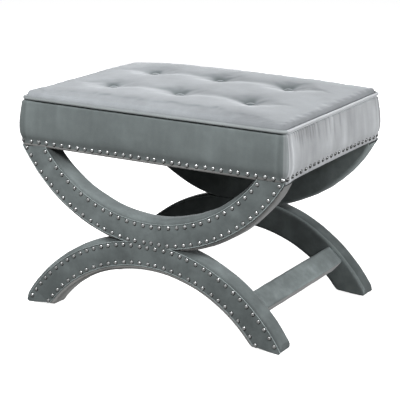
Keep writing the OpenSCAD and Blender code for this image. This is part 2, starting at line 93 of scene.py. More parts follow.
class SeatSizes(bpy.types.PropertyGroup):
    rail_x: length_prop("Half Width", "Half the width over the rails", half_size("front_rail", 0))
    rail_y: length_prop("Half Depth", "Half the depth over the rails", half_size("seat_deck", 1))
    rail_round: length_prop("Corner Radius", "Radius of the rails' corners", 0.005)
    hem_level: length_prop("Hem Level", "Lower edge of the band", level("band_cover", 0))
    band_level: length_prop("Band Level", "Upper edge of the band", level("band_cover", 1))
    nail_level: length_prop("Nail Level", "Line of the band's nails", level("band_nails", 0) + NAIL_RADIUS)
    deck_level: length_prop("Deck Level", "Top of the seat's deck", level("seat_foam", 0))
    hem_out: length_prop("Hem Out", "How far the hem stands out from the rails", 0.0070)
    hem_lap: length_prop("Hem Lap", "How far the hem laps over the frames", 0.0018)
    hem_droop: length_prop("Hem Droop", "Droop of the hem at the front right corner", 0.0035)
    corner_fullness: length_prop("Corner Fullness", "Fullness of the front left corner", 0.0034)
    side_lift: length_prop("Side Lift", "How far the nails rise along the middle of the ends", 0.0042)
    top_out: length_prop("Top Out", "How far the band's top stands out from the rails", 0.0058)
    swell: length_prop("Swell", "How far the band swells out above its nails", 0.0055)
    piping_radius: length_prop("Piping Radius", "Radius of the piping", 0.0035)
    piping_out: length_prop("Piping Out", "How far the piping's middle is out from the rails", 0.0060)
    roll: length_prop("Edge Roll", "How far the top rises steeply at its seam", 0.0101)
    roll_width: length_prop("Roll Width", "Distance over which the top rises steeply", 0.0050)
    crown: length_prop("Crown", "Rise of the top's broad crown", 0.0122)
    top_corner: length_prop("Top Corner", "Radius of the top's corners", 0.0150)
    tuft_pitch: length_prop("Tuft Pitch", "Distance between neighbouring buttons", 0.165)
    tuft_depth: length_prop("Tuft Depth", "Depth of a button below the crown", 0.0097)
    valley_depth: length_prop("Valley Depth", "Depth of the hollow between the buttons of a row", 0.0022)
    button_radius: length_prop("Button Radius", "Radius of a button", 0.0105)
    button_height: length_prop("Button Height", "Height of a button", 0.0055)


class ArcSizes(bpy.types.PropertyGroup):
    radius: length_prop("Outer Radius", "Radius of an arc's outer edge", 0.35967)
    width: length_prop("Arc Width", "Width of an arc, seen from the front", 0.058)
    thickness: length_prop("Thickness", "Thickness of a frame from front to back", 0.042)
    cloth: length_prop("Panel Thickness", "Thickness of a face panel", 0.0012)
    middle: length_prop("Frame Middle", "How far a frame's middle is from the stool's", 0.1965)
    crossing: length_prop("Crossing Level", "Level at which the arcs meet", level("front_upper_core", 0))
    cut: length_prop("Crossing Cut", "Depth of the flat where two arcs meet", 0.007)
    reach: length_prop("Reach", "Half the width over the feet", half_size("front_lower_wrap", 0))
    top: length_prop("Top Level", "Top of the frames", level("front_upper_wrap", 1))
    outer_row: length_prop("Outer Row", "Inset of the nails along the outer edge", 0.0097)
    inner_row: length_prop("Inner Row", "Inset of the nails along the inner edge", 0.0112)
    overhang: length_prop("Overhang", "How far a face panel runs past its nails", 0.0058)
    fill_out: length_prop("Outer Fill", "How far the padding fills out an arc's outer surface", 0.0045)
    fill_in: length_prop("Inner Fill", "How far the padding fills out an arc's inner surface", 0.0055)
    welt: length_prop("Welt", "Radius of the welt along a face panel's edges", 0.0010)
    stretcher_angle: bpy.props.FloatProperty(
        name="Stretcher Angle", description="Angle of a stretcher from the arc's centre",
        default=math.radians(48.6), unit="ROTATION", subtype="ANGLE",
    )
    stretcher_radius: length_prop("Stretcher Radius", "A stretcher's distance from the centre", 0.33717)
    stretcher_width: length_prop("Stretcher Width", "Width of a stretcher along the arc", 0.044)
    stretcher_depth: length_prop("Stretcher Depth", "Thickness of a stretcher", 0.036)


class NailSizes(bpy.types.PropertyGroup):
    radius: length_prop("Nail Radius", "Radius of a nail's head", NAIL_RADIUS)
    height: length_prop("Nail Height", "Height of a nail's head", 0.0036)
    # Below this height a nail's head takes a darker nickel: painted shade round its rim
    rim: length_prop("Nail Rim", "Height of a nail's tarnished rim", 0.0021)
    wander: length_prop("Wander", "How far a nail strays along its row", 0.0013)
    front: count_prop("Front Nails", "Nails along the front of the seat", 33)
    side: count_prop("Side Nails", "Nails along a side of the seat", 23)
    upper_outer: count_prop("Upper Outer Nails", "Nails near an upper arc's outer edge", 38)
    upper_inner: count_prop("Upper Inner Nails", "Nails near an upper arc's inner edge", 30)
    lower_outer: count_prop("Lower Outer Nails", "Nails near a lower arc's outer edge", 37)
    lower_inner: count_prop("Lower Inner Nails", "Nails near a lower arc's inner edge", 31)


class Palette(bpy.types.PropertyGroup):
    # The velvet's own colour. The velvet colours below it are lighter copies of it, with painted light
    velvet: colour_prop("Velvet", "Pile stroked down, on the frames and the front", (0.140, 0.161, 0.162))
    # Painted light: the seat's top, lighter as if lit from above
    velvet_top: colour_prop("Velvet Top", "Pile stroked up to the light, on the seat", (0.325, 0.343, 0.362))
    # Painted light: the seat's ends, lighter as if lit from the side
    velvet_side: colour_prop("Velvet Side", "Pile stroked up, on the ends", (0.290, 0.300, 0.312))
    # Painted light: the band's corners, between its front and its ends
    velvet_corner: colour_prop("Velvet Corner", "Pile at the band's corners", (0.180, 0.196, 0.200))
    # Painted light: the piping's front, lighter than the band below it
    velvet_cord: colour_prop("Velvet Cord", "Pile on the piping's front", (0.250, 0.272, 0.276))
    # Painted light: surfaces that look down, lighter as if lit from the floor
    velvet_under: colour_prop("Velvet Under", "Pile that looks down on the floor", (0.245, 0.247, 0.242))
    sheen: colour_prop("Sheen", "Pile seen from the side", (0.93, 0.965, 1.0))
    nickel: colour_prop("Nickel", "Plate of the nails", (0.50, 0.515, 0.52))
    wood: colour_prop("Wood", "Rails and cores", (0.45, 0.29, 0.14))
    plywood: colour_prop("Plywood", "Deck and dowels", (0.56, 0.40, 0.22))
    foam: colour_prop("Foam", "Seat foam", (0.80, 0.70, 0.38))
    wadding: colour_prop("Wadding", "Wadding under the velvet", (0.82, 0.82, 0.78))
    dust_cloth: colour_prop("Dust Cloth", "Cloth under the seat", (0.012, 0.012, 0.014))
    black_plastic: colour_prop("Black Plastic", "Glides and washers", (0.010, 0.010, 0.011))
    twine: colour_prop("Twine", "Tufting twine", (0.70, 0.64, 0.50))
    floor: colour_prop("Floor", "Floor, as the camera sees it", (0.92, 0.92, 0.92))
    floor_bounce: colour_prop("Floor Bounce", "Floor, as it lights the stool", (0.16, 0.155, 0.15))


def seat():
    return bpy.context.scene.footstool_seat


def arcs():
    return bpy.context.scene.footstool_arcs


def nails():
    return bpy.context.scene.footstool_nails


def palette():
    return bpy.context.scene.footstool_palette


def deselect():
    if bpy.context.mode != "OBJECT":
        bpy.ops.object.mode_set(mode="OBJECT")
    bpy.ops.object.select_all(action="DESELECT")


def make_active(piece):
    deselect()
    piece.select_set(True)
    bpy.context.view_layer.objects.active = piece


def edit(piece, mode="VERT"):
    make_active(piece)
    bpy.ops.object.mode_set(mode="EDIT")
    bpy.ops.mesh.select_mode(type=mode)
    bpy.ops.mesh.select_all(action="SELECT")


def leave_edit():
    bpy.ops.object.mode_set(mode="OBJECT")


def name_active(name):
    """The active object, with this name for it and its mesh."""
    piece = bpy.context.active_object
    piece.name = piece.data.name = name
    return piece


def extrude_rim(drop=0.0):
    """Extrudes a mesh's open edges, and leaves the new ones selected."""
    bpy.ops.mesh.select_all(action="DESELECT")
    bpy.ops.mesh.select_non_manifold()
    bpy.ops.mesh.extrude_region_move(TRANSFORM_OT_translate={"value": (0, 0, -drop)})


def apply_place(piece):
    make_active(piece)
    bpy.ops.object.transform_apply(location=True, rotation=True, scale=True)


def points(piece):
    co = np.empty(len(piece.data.vertices) * 3)
    piece.data.vertices.foreach_get("co", co)
    return co.reshape(-1, 3)


def move_points(piece, co):
    piece.data.vertices.foreach_set("co", np.asarray(co, float).ravel())
    piece.data.update()


def apply_modifier(piece, kind, **settings):
    """Adds a modifier with its settings, and applies it."""
    make_active(piece)
    modifier = piece.modifiers.new(kind.title(), kind)
    for name, value in settings.items():
        setattr(modifier, name, value)
    bpy.ops.object.modifier_apply(modifier=modifier.name)


def outwards(piece):
    edit(piece)
    bpy.ops.mesh.normals_make_consistent(inside=False)
    leave_edit()


def edit_chosen(piece, kind, test):
    """Enters edit mode with only those edges or faces selected whose vertices' points pass the test."""
    edit(piece, "EDGE" if kind == "edges" else "FACE")
    bpy.ops.mesh.select_all(action="DESELECT")
    leave_edit()
    co = points(piece)
    for part in piece.data.edges if kind == "edges" else piece.data.polygons:
        part.select = bool(test(co[list(part.vertices)]))
    bpy.ops.object.mode_set(mode="EDIT")


def copy_piece(piece, name):
    """A copy with its own mesh."""
    made = piece.copy()
    made.data = piece.data.copy()
    made.name = made.data.name = name
    bpy.context.collection.objects.link(made)
    return made


def join_pieces(pieces, name):
    deselect()
    for piece in pieces:
        piece.select_set(True)
    bpy.context.view_layer.objects.active = pieces[0]
    bpy.ops.object.join()
    pieces[0].name = pieces[0].data.name = name
    return pieces[0]


def finish_piece(piece, slot, nodes, smooth=None, finish=None):
    """Gives a piece its material, if it has none, its shading and its place in the frame."""
    if not piece.data.materials:
        piece.data.materials.append(bpy.data.materials[finish or slot])
    make_active(piece)
    if smooth is None:
        bpy.ops.object.shade_smooth()
    else:
        bpy.ops.object.shade_smooth_by_angle(angle=smooth)
    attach(piece, "root")
    if nodes:
        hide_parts(*nodes)


# How far towards X a face of the seat points where the finish of a corner, and that of an end, begins. Both
# finishes are lighter copies of the velvet, painted light
CORNER_TURN, END_TURN = 0.52, 0.92


def clothe_ends(piece, half_x, half_y, corner, finishes):
    """Gives the faces of the seat's corners and of its left and right ends their own finishes: lighter copies
    of the velvet, painted light.
    """
    for finish in finishes:
        piece.data.materials.append(bpy.data.materials[finish])
    faces = piece.data.polygons
    centres = np.empty(len(faces) * 3)
    faces.foreach_get("center", centres)
    turned = np.abs(rim_directions(centres.reshape(-1, 3), half_x, half_y, corner)[:, 0])
    index = np.where(turned > END_TURN, 2, np.where(turned > CORNER_TURN, 1, 0))
    faces.foreach_set("material_index", index.astype(np.int32))


def clothe_faces(piece, finish, test):
    """Gives another finish to the faces whose centres and normals pass the test."""
    piece.data.materials.append(bpy.data.materials[finish])
    faces = piece.data.polygons
    centres, normals = np.empty(len(faces) * 3), np.empty(len(faces) * 3)
    faces.foreach_get("center", centres)
    faces.foreach_get("normal", normals)
    index = np.empty(len(faces), np.int32)
    faces.foreach_get("material_index", index)
    index[test(centres.reshape(-1, 3), normals.reshape(-1, 3))] = len(piece.data.materials) - 1
    faces.foreach_set("material_index", index)


def hill(distance, spread):
    """A smooth hill that is 1 high at a distance of 0."""
    return np.exp(-((distance / spread) ** 2))


def grade(value, start, span):
    """Grows from 0 at the start to 1 past the span; a span below 0 runs the other way."""
    return np.clip((value - start) / span, 0, 1)


# How far apart the noise of two seeds lies
NOISE_STRIDES = (17.3, 5.7, 11.9)


def smooth_noise(co, scale, seed):
    """Soft noise from -1 to 1 at each point, with features about 1 / scale metres wide."""
    shift = Vector([seed * stride for stride in NOISE_STRIDES])
    return np.array([noise.noise(Vector(p) * scale + shift) for p in co])


def unevenness(co, height, fineness, seed, i=0):
    """Soft noise of this height for piece number i, at each point."""
    return height * smooth_noise(co, fineness, seed + i)


# Ranges of a ripple's width and height, as shares of those asked for
RIPPLE_WIDTH_SHARES, RIPPLE_HEIGHT_SHARES = (0.6, 1.7), (-0.6, 1.0)


def ripples(along, i, seed, count, reach, width, height):
    """Folds across a line, for piece number i: rounded ridges of random place, width and height."""
    chance = random.Random(seed + i)
    total = np.zeros_like(along)
    for _ in range(count):
        place = chance.uniform(-reach, reach)
        wide = width * chance.uniform(*RIPPLE_WIDTH_SHARES)
        tall = height * chance.uniform(*RIPPLE_HEIGHT_SHARES)
        total += tall * hill(along - place, wide)
    return total


class Node:
    """Short forms for building a material's node tree."""

    def __init__(self, name):
        """Takes the frame's material of this name, or a new one, and starts it afresh."""
        self.material = bpy.data.materials.get(name) or bpy.data.materials.new(name)
        self.material.use_nodes = True
        self.tree = self.material.node_tree
        self.tree.nodes.clear()
        self.shader = self.add("ShaderNodeBsdfPrincipled")
        self.surface = self.add("ShaderNodeOutputMaterial").inputs["Surface"]
        self.link(self.shader.outputs[0], self.surface)

    def add(self, kind, **settings):
        made = self.tree.nodes.new(kind)
        for key, value in settings.items():
            setattr(made, key, value)
        return made

    def link(self, source, target):
        self.tree.links.new(source, target)

    def coords(self, scale=(1, 1, 1)):
        place = self.add("ShaderNodeTexCoord")
        mapping = self.add("ShaderNodeMapping")
        mapping.inputs["Scale"].default_value = scale
        self.link(place.outputs["Object"], mapping.inputs["Vector"])
        return mapping.outputs["Vector"]

    def noise(self, scale, detail=2.0, stretch=(1, 1, 1), rough=0.5):
        made = self.add("ShaderNodeTexNoise")
        made.inputs["Scale"].default_value = scale
        made.inputs["Detail"].default_value = detail
        made.inputs["Roughness"].default_value = rough
        self.link(self.coords(stretch), made.inputs["Vector"])
        return made.outputs["Fac"]

    def ramp(self, source, stops):
        """Colours from each (place, colour) to the next."""
        made = self.add("ShaderNodeValToRGB")
        while len(made.color_ramp.elements) < len(stops):
            made.color_ramp.elements.new(0.5)
        for element, (place, colour) in zip(made.color_ramp.elements, stops):
            element.position = place
            element.color = (*colour, 1)
        self.link(source, made.inputs["Fac"])
        return made.outputs["Color"]

    def tints(self, source, base, *stops):
        """Tints of a colour, from each (place, factor) to the next."""
        return self.ramp(source, [(place, tint(base, factor)) for place, factor in stops])

    def greys(self, source, *stops):
        """Greys, from each (place, grey) to the next. One above 1 lightens the colour that it multiplies."""
        return self.ramp(source, [(place, (grey,) * 3) for place, grey in stops])

    def multiply(self, share, colour, by):
        """A colour multiplied by another one, to a share. Each can be an output or a value."""
        made = self.add("ShaderNodeMix", data_type="RGBA", blend_type="MULTIPLY")
        for socket, value in ((made.inputs[0], share), (made.inputs[6], colour), (made.inputs[7], by)):
            if isinstance(value, (int, float)):
                socket.default_value = value
            elif isinstance(value, tuple):
                socket.default_value = (*value, 1)
            else:
                self.link(value, socket)
        return made.outputs[2]

    def part(self, vector, axis):
        made = self.add("ShaderNodeSeparateXYZ")
        self.link(vector, made.inputs[0])
        return made.outputs[axis]

    def map_range(self, source, low, high, to_low, to_high, kind="SMOOTHSTEP"):
        made = self.add("ShaderNodeMapRange", interpolation_type=kind)
        for socket, value in zip(list(made.inputs)[1:5], (low, high, to_low, to_high)):
            socket.default_value = value
        self.link(source, made.inputs["Value"])
        return made.outputs["Result"]

    def bump(self, layers):
        """Stacks bumps: each layer is (height source, strength, distance)."""
        before = None
        for source, strength, distance in layers:
            made = self.add("ShaderNodeBump")
            made.inputs["Strength"].default_value = strength
            made.inputs["Distance"].default_value = distance
            self.link(source, made.inputs["Height"])
            if before is not None:
                self.link(before, made.inputs["Normal"])
            before = made.outputs["Normal"]
        self.link(before, self.shader.inputs["Normal"])

    def set(self, **values):
        for key, value in values.items():
            socket = self.shader.inputs[key.replace("_", " ")]
            socket.default_value = (*value, 1) if isinstance(value, tuple) else value


def tint(colour, factor):
    return tuple(min(1.0, c * factor) for c in colour)


# Painted shade on the seat's top: slopes that face this way, forward and to the right, are darkened, with this
# tint
SHADED_SLOPE_FACING, SLOPE_SHADE_TINT = (0.60, -0.80, 0.0), (0.94, 1.04, 1.02)
# How far a slope faces that way where the painted shade begins, and where it is full
SLOPE_SHADE_RANGE = (0.03, 0.34)
# The painted shade goes back to this share at the front and the right seam, between two places along an axis
SLOPE_SHADE_SEAM_SHARE, SLOPE_SHADE_SEAMS = 0.12, (("Y", -0.196, -0.165), ("X", 0.290, 0.268))
# How much painted light a fold's ridge gets, as a share of the painted shade in its groove
RIDGE_SHARE = 0.5


def make_velvet(name, base, sheen, mottle, streak=0.0, slope_shade=0.0, fades=(), fold=0.0):
    """Velvet, mottled by hands, with streaks that run up and down, and with the painted light and shade that
    its arguments ask for.

    The share for the slopes' shade paints shade onto the slopes that face forward and to the right, such as
    the far sides of the tufts' hollows. Each of the fades is (axis, start, end, share): past its end, the
    colour is darker by the share, as painted shade, or lighter where that is below 0, as painted light. The
    share fold paints shade into the grooves of the band's folds, and a little painted light onto their ridges.
    """
    made = Node(name)
    brushed = made.noise(9.0, detail=3.0, stretch=(1.0, 1.0, 1.6))
    patches = made.noise(30.0, detail=3.0, rough=0.6)
    streaks = made.noise(85.0, detail=2.0, stretch=(1.0, 1.0, 0.12))
    pile = made.noise(900.0, detail=2.0)
    colour = made.tints(brushed, base, (0.30, 0.90), (0.52, 1.0), (0.72, 1.12))
    for share, source, *greys in (
        (mottle, patches, (0.36, 0.84), (0.52, 1.0), (0.70, 1.22)),
        (streak, streaks, (0.34, 0.86), (0.52, 1.0), (0.68, 1.16)),
        (0.6, pile, (0.30, 0.88), (0.70, 1.10)),
    ):
        colour = made.multiply(share, colour, made.greys(source, *greys))
    # Painted shade on the slopes that face forward and to the right, with less of it near the front and right
    # seams
    if slope_shade:
        facing = made.add("ShaderNodeVectorMath", operation="DOT_PRODUCT")
        made.link(made.add("ShaderNodeNewGeometry").outputs["Normal"], facing.inputs[0])
        facing.inputs[1].default_value = SHADED_SLOPE_FACING
        share = made.map_range(facing.outputs["Value"], *SLOPE_SHADE_RANGE, 0, 1)
        for axis, start, end in SLOPE_SHADE_SEAMS:
            times = made.add("ShaderNodeMath", operation="MULTIPLY")
            made.link(share, times.inputs[0])
            inside = made.map_range(made.part(made.coords(), axis), start, end, SLOPE_SHADE_SEAM_SHARE, 1)
            made.link(inside, times.inputs[1])
            share = times.outputs[0]
        colour = made.multiply(share, colour, tint(SLOPE_SHADE_TINT, 1 - slope_shade))
    # Painted shade, or painted light, by place along an axis
    for axis, start, end, share in fades:
        past = made.map_range(made.part(made.coords(), axis), start, end, 0, 1)
        colour = made.multiply(past, colour, (1 - share,) * 3)
    # Painted shade in the grooves of the band's folds, and painted light on their ridges
    if fold:
        depth = made.add("ShaderNodeAttribute", attribute_name="fold").outputs["Fac"]
        shade = made.map_range(depth, -1, 1, 1 + RIDGE_SHARE * fold, 1 - fold, kind="LINEAR")
        colour = made.multiply(1.0, colour, shade)
    made.link(colour, made.shader.inputs["Base Color"])
    made.set(Roughness=0.9, Specular_IOR_Level=0.12, Sheen_Weight=sheen, Sheen_Roughness=0.5)
    made.set(Sheen_Tint=tuple(palette().sheen))
    made.bump([(patches, 0.10, 0.0006), (streaks, 0.30 * streak, 0.0008), (pile, 0.22, 0.0003)])


def make_nickel(name, base):
    made = Node(name)
    worn = made.noise(420.0, detail=3.0)
    colour = made.tints(worn, base, (0.35, 0.62), (0.55, 1.0), (0.75, 1.15))
    made.link(colour, made.shader.inputs["Base Color"])
    made.link(made.greys(worn, (0.3, 0.30), (0.7, 0.20)), made.shader.inputs["Roughness"])
    made.set(Metallic=0.60, Specular_IOR_Level=0.4)
    made.bump([(made.noise(1500.0), 0.10, 0.0002)])


def make_timber(name, base, stretch, rings):
    made = Node(name)
    grain = made.noise(rings, detail=6.0, stretch=stretch, rough=0.62)
    pores = made.noise(rings * 9, detail=2.0, stretch=stretch)
    colour = made.tints(grain, base, (0.28, 0.72), (0.5, 1.0), (0.72, 1.2))
    colour = made.multiply(0.35, colour, made.greys(pores, (0.35, 0.7), (0.6, 1.0)))
    made.link(colour, made.shader.inputs["Base Color"])
    made.set(Roughness=0.62)
    made.bump([(grain, 0.12, 0.0006), (pores, 0.15, 0.0003)])


# Grain of the materials that are neither velvet, nickel nor wood: its scale, depth and roughness
FIBRES = {
    "foam": (900.0, 0.0006, 0.95), "wadding": (400.0, 0.0010, 0.95), "dust_cloth": (700.0, 0.0004, 0.95),
    "black_plastic": (1200.0, 0.0002, 0.45), "twine": (1600.0, 0.0004, 0.95),
}


def make_fibre(name, base, scale, depth, rough):
    """Foam, wadding, cloth, twine or plastic, with a fine grain of this scale and depth."""
    made = Node(name)
    cells = made.noise(scale, detail=4.0, rough=0.7)
    made.link(made.tints(cells, base, (0.3, 0.75), (0.6, 1.0), (0.8, 1.08)), made.shader.inputs["Base Color"])
    made.set(Roughness=rough)
    made.bump([(cells, 0.35, depth)])


# Places and shares of the fades (axis, start, end, share), which paint shade and light by place
# Painted shade on the frames and face panels: darker towards the floor and towards the right
LOWER_AND_RIGHT = (("Z", 0.25, 0.10, 0.14), ("X", -0.20, 0.28, 0.16))
# Painted shade on the seat's top: darker towards the right, and more on its right edge
TOP_RIGHT = (("X", -0.22, 0.30, 0.33), ("X", 0.286, 0.2985, 0.34))
# Painted shade on the arcs: darker towards the right, and under the band at their tops
ARC_RIGHT, BELOW_BAND = ("X", -0.10, 0.30, 0.42), ("Z", 0.30, 0.335, 0.72)
# Painted light from the floor, stronger near it, and painted shade towards the right
FLOOR_LIT = (("X", 0.05, 0.28, 0.34), ("Z", 0.16, 0.03, -0.35))
# Painted shade on the stretchers: darker towards their ends, more so at the front
STRETCHER_ENDS = (("Y", -0.02, -0.15, 0.42), ("Y", 0.06, 0.17, 0.20))
# Painted shade on the back arcs' inner faces towards the left, and painted light towards the right
INNER_FACES = (("X", 0.06, -0.12, 0.30), ("X", 0.15, 0.29, -0.75))
# Painted light on the band: towards its front's left end, and on its ends towards the front
BAND_LEFT, BAND_NEAR = ("X", -0.10, -0.28, -0.14), ("Y", -0.15, -0.19, -0.20)
# How far below the crossing the upper arcs' shade on the lower arcs begins and is full, and its share
CROSSING_SHADE = (0.012, 0.002, 0.72)


def make_velvets(colours):
    """The velvet's finishes: copies of its colour, lighter or darker with painted light and shade, one for
    each part of the stool.
    """
    base, side = tuple(colours.velvet), tuple(colours.velvet_side)
    top, under = tuple(colours.velvet_top), tuple(colours.velvet_under)
    corner, cord = tuple(colours.velvet_corner), tuple(colours.velvet_cord)
    start, end, share = CROSSING_SHADE
    below_crossing = ("Z", arcs().crossing - start, arcs().crossing - end, share)
    # Frames and face panels: painted shade lower down and towards the right
    make_velvet("velvet", tint(base, 1.10), sheen=0.03, mottle=0.9, streak=0.15, fades=LOWER_AND_RIGHT)
    # Band's front: painted light towards its left end, and painted shade in its folds
    make_velvet("velvet_front", base, sheen=0.05, mottle=0.35, streak=0.18, fold=0.25, fades=(BAND_LEFT,))
    # Band's ends: a lighter copy, painted light, more towards the front, with painted shade in their folds
    make_velvet(
        "velvet_side", tint(side, 1.16), sheen=0.42, mottle=0.20, streak=0.40, fold=0.50, fades=(BAND_NEAR,)
    )
    # Band's corners: a lighter copy, painted light, with painted shade in their pleats
    make_velvet("velvet_corner", corner, sheen=0.30, mottle=0.20, streak=0.45, fold=0.6)
    # Seat's top and buttons: a lighter copy, painted light, with painted shade on its slopes and towards the
    # right
    make_velvet("velvet_top", tint(top, 1.11), sheen=0.45, mottle=0.35, slope_shade=0.60, fades=TOP_RIGHT)
    # Piping's front: a lighter copy, painted light
    make_velvet("velvet_cord", cord, sheen=0.20, mottle=0.30)
    # Piping on the ends: a lighter copy, painted light
    make_velvet("velvet_cord_side", tint(side, 1.05), sheen=1.0, mottle=0.20)
    # Upper arcs: painted shade towards the right and under the band
    make_velvet("velvet_edge", tint(base, 1.15), sheen=0.12, mottle=0.9, fades=(ARC_RIGHT, BELOW_BAND))
    # Lower arcs: painted shade towards the right and under the crossing
    make_velvet("velvet_lower", tint(base, 1.15), sheen=0.12, mottle=0.9, fades=(ARC_RIGHT, below_crossing))
    # Surfaces that look down: a lighter copy, painted light from the floor, with painted shade towards the
    # right
    make_velvet("velvet_under", under, sheen=0.25, mottle=0.6, fades=FLOOR_LIT)
    # Welts along the face panels: a much lighter copy, a painted highlight
    make_velvet("velvet_welt", tint(base, 1.8), sheen=0.30, mottle=0.3)
    # Back arcs' seam and the back upper arcs' floor side: a lighter copy, painted light
    make_velvet("velvet_seam", tint(base, 1.35), sheen=0.15, mottle=0.3)
    # Back arcs' inner faces: painted shade towards the left, painted light towards the right
    make_velvet("velvet_inner", tint(base, 1.05), sheen=0.03, mottle=0.9, streak=0.15, fades=INNER_FACES)
    # Stretchers: a lighter copy, painted light, with painted shade towards their ends
    make_velvet("velvet_stretcher", tint(base, 1.42), sheen=0.10, mottle=1.0, fades=STRETCHER_ENDS)


def make_materials():
    colours = palette()
    make_velvets(colours)
    make_nickel("nickel", tuple(colours.nickel))
    # Painted shade: a darker copy of the nickel for the rims of the nails' heads
    make_nickel("nickel_rim", tint(colours.nickel, 0.20))
    # Painted shade: a darker copy of the nickel for the nails on the seat's ends
    make_nickel("nickel_side", tint(colours.nickel, 0.22))
    make_timber("wood", tuple(colours.wood), stretch=(0.35, 2.4, 2.4), rings=60.0)
    make_timber("plywood", tuple(colours.plywood), stretch=(0.5, 1.4, 7.0), rings=70.0)
    for name, grain in FIBRES.items():
        make_fibre(name, tuple(getattr(colours, name)), *grain)
    slots = {row["node"]: row["material_slot"] for row in frame["record"]["subparts"]}
    for node, piece in frame["nodes"].items():
        piece.data.materials.clear()
        piece.data.materials.append(bpy.data.materials[slots[node]])


def outline_loop(name, half_x, half_y, corner, spacing, z):
    """A rounded rectangle of edges round the seat, with vertices about spacing apart."""
    deselect()
    bpy.ops.mesh.primitive_plane_add(size=2, location=(0, 0, z))
    piece = name_active(name)
    edit(piece)
    bpy.ops.transform.resize(value=(half_x, half_y, 1))
    bpy.ops.mesh.bevel(offset=corner, segments=6, affect="VERTICES")
    bpy.ops.mesh.select_all(action="SELECT")
    bpy.ops.mesh.delete(type="ONLY_FACE")
    for axis, half in ((0, half_x), (1, half_y)):
        cuts = int(round(2 * (half - corner) / spacing)) - 1
        edit_chosen(piece, "edges", lambda ends, axis=axis, half=half: np.ptp(ends[:, axis]) > half)
        bpy.ops.mesh.subdivide(number_cuts=cuts)
    leave_edit()
    apply_place(piece)
    return piece


def rim_directions(co, half_x, half_y, corner):
    """The outward direction at each point of a rounded rectangle."""
    over = np.abs(co[:, :2]) - np.array([half_x - corner, half_y - corner])
    out = np.where(over > TOUCHING, over, 0.0) * np.sign(co[:, :2])
    flat = np.linalg.norm(out, axis=1) < TINY
    out[flat] = np.sign(co[flat, :2]) * (over[flat] > over[flat][:, ::-1])
    return out / np.linalg.norm(out, axis=1)[:, None]


def inside_rim(x, y, half_x, half_y, corner):
    """Distance of each point from the rim of a rounded rectangle, inwards."""
    over_x, over_y = np.abs(x) - (half_x - corner), np.abs(y) - (half_y - corner)
    round_corner = (over_x > 0) & (over_y > 0)
    past = np.where(round_corner, np.hypot(over_x, over_y), np.maximum(over_x, over_y))
    return np.maximum(corner - past, 0)


# Powers by which the crown falls off along X and along Y
CROWN_POWERS = (3.4, 12)
# Height and spread of the slack at the top's back left corner, and of the fullness at its front left one
CORNER_SLACK, CORNER_FULL = (0.0030, 0.075), (0.0016, 0.050)


def top_half_sizes():
    """Half the width and half the depth of the top, inside its piping."""
    s = seat()
    return s.rail_x + s.piping_out - s.piping_radius, s.rail_y + s.piping_out - s.piping_radius


def crown_height(x, y):
    """Height of the seat's top above its seam, before it is tufted."""
    s = seat()
    half_x, half_y = top_half_sizes()
    rim = inside_rim(x, y, half_x, half_y, s.top_corner)
    roll = np.sqrt(1 - np.clip(1 - rim / s.roll_width, 0, 1) ** 2)
    across, along = CROWN_POWERS
    broad = (1 - (np.abs(x) / half_x) ** across) * (1 - (np.abs(y) / half_y) ** along)
    slack = CORNER_SLACK[0] * hill(np.hypot(x + half_x, y - half_y), CORNER_SLACK[1])
    full = CORNER_FULL[0] * hill(np.hypot(x + half_x, y + half_y), CORNER_FULL[1])
    return s.roll * roll + s.crown * broad + (full - slack) * roll


# How far each column of buttons is drawn aside
TUFTS_DRAWN = (-0.002, -0.005, -0.007)


def tuft_places():
    """The buttons' places. The cover is drawn a little to the left, by more towards the right."""
    pitch = seat().tuft_pitch
    columns = [i * pitch + drawn for i, drawn in zip((-1, 0, 1), TUFTS_DRAWN)]
    return [(x, side * pitch) for x in columns for side in (-0.5, 0.5)]


# How far the top's seam lies above the piping's middle
SEAM_RISE = 0.0012
# A tuft's hollow starts at this share of its button's radius. Its depth follows the crown's fall by a share
TUFT_START_SHARE, TUFT_FALL_SHARE = 0.85, 0.5
# Share of a tuft's depth in its steep hollow, and the spreads of that and of the wide one
STEEP_SHARE, STEEP_SPREAD, WIDE_SPREAD = 0.70, 0.0135, 0.040
# Pleats round a button: their depth, their distance from it and spread, and (share, count, turn) of each wave
PLEAT_DEPTH, PLEAT_AWAY, PLEAT_SPREAD = 0.0005, 0.016, 0.011
PLEAT_WAVES = ((1.0, 7, 2.1), (0.6, 4, 1.3))
# Spread of the valley along a row of buttons, across it and past its ends
VALLEY_SPREAD, VALLEY_END = 0.018, 0.045
# Depth and spread of the fold along a column of buttons, and its spread past their ends
COLUMN_DEPTH, COLUMN_SPREAD, COLUMN_END = 0.0008, 0.016, 0.03


def seam_level():
    s = seat()
    return s.band_level + s.piping_radius + SEAM_RISE


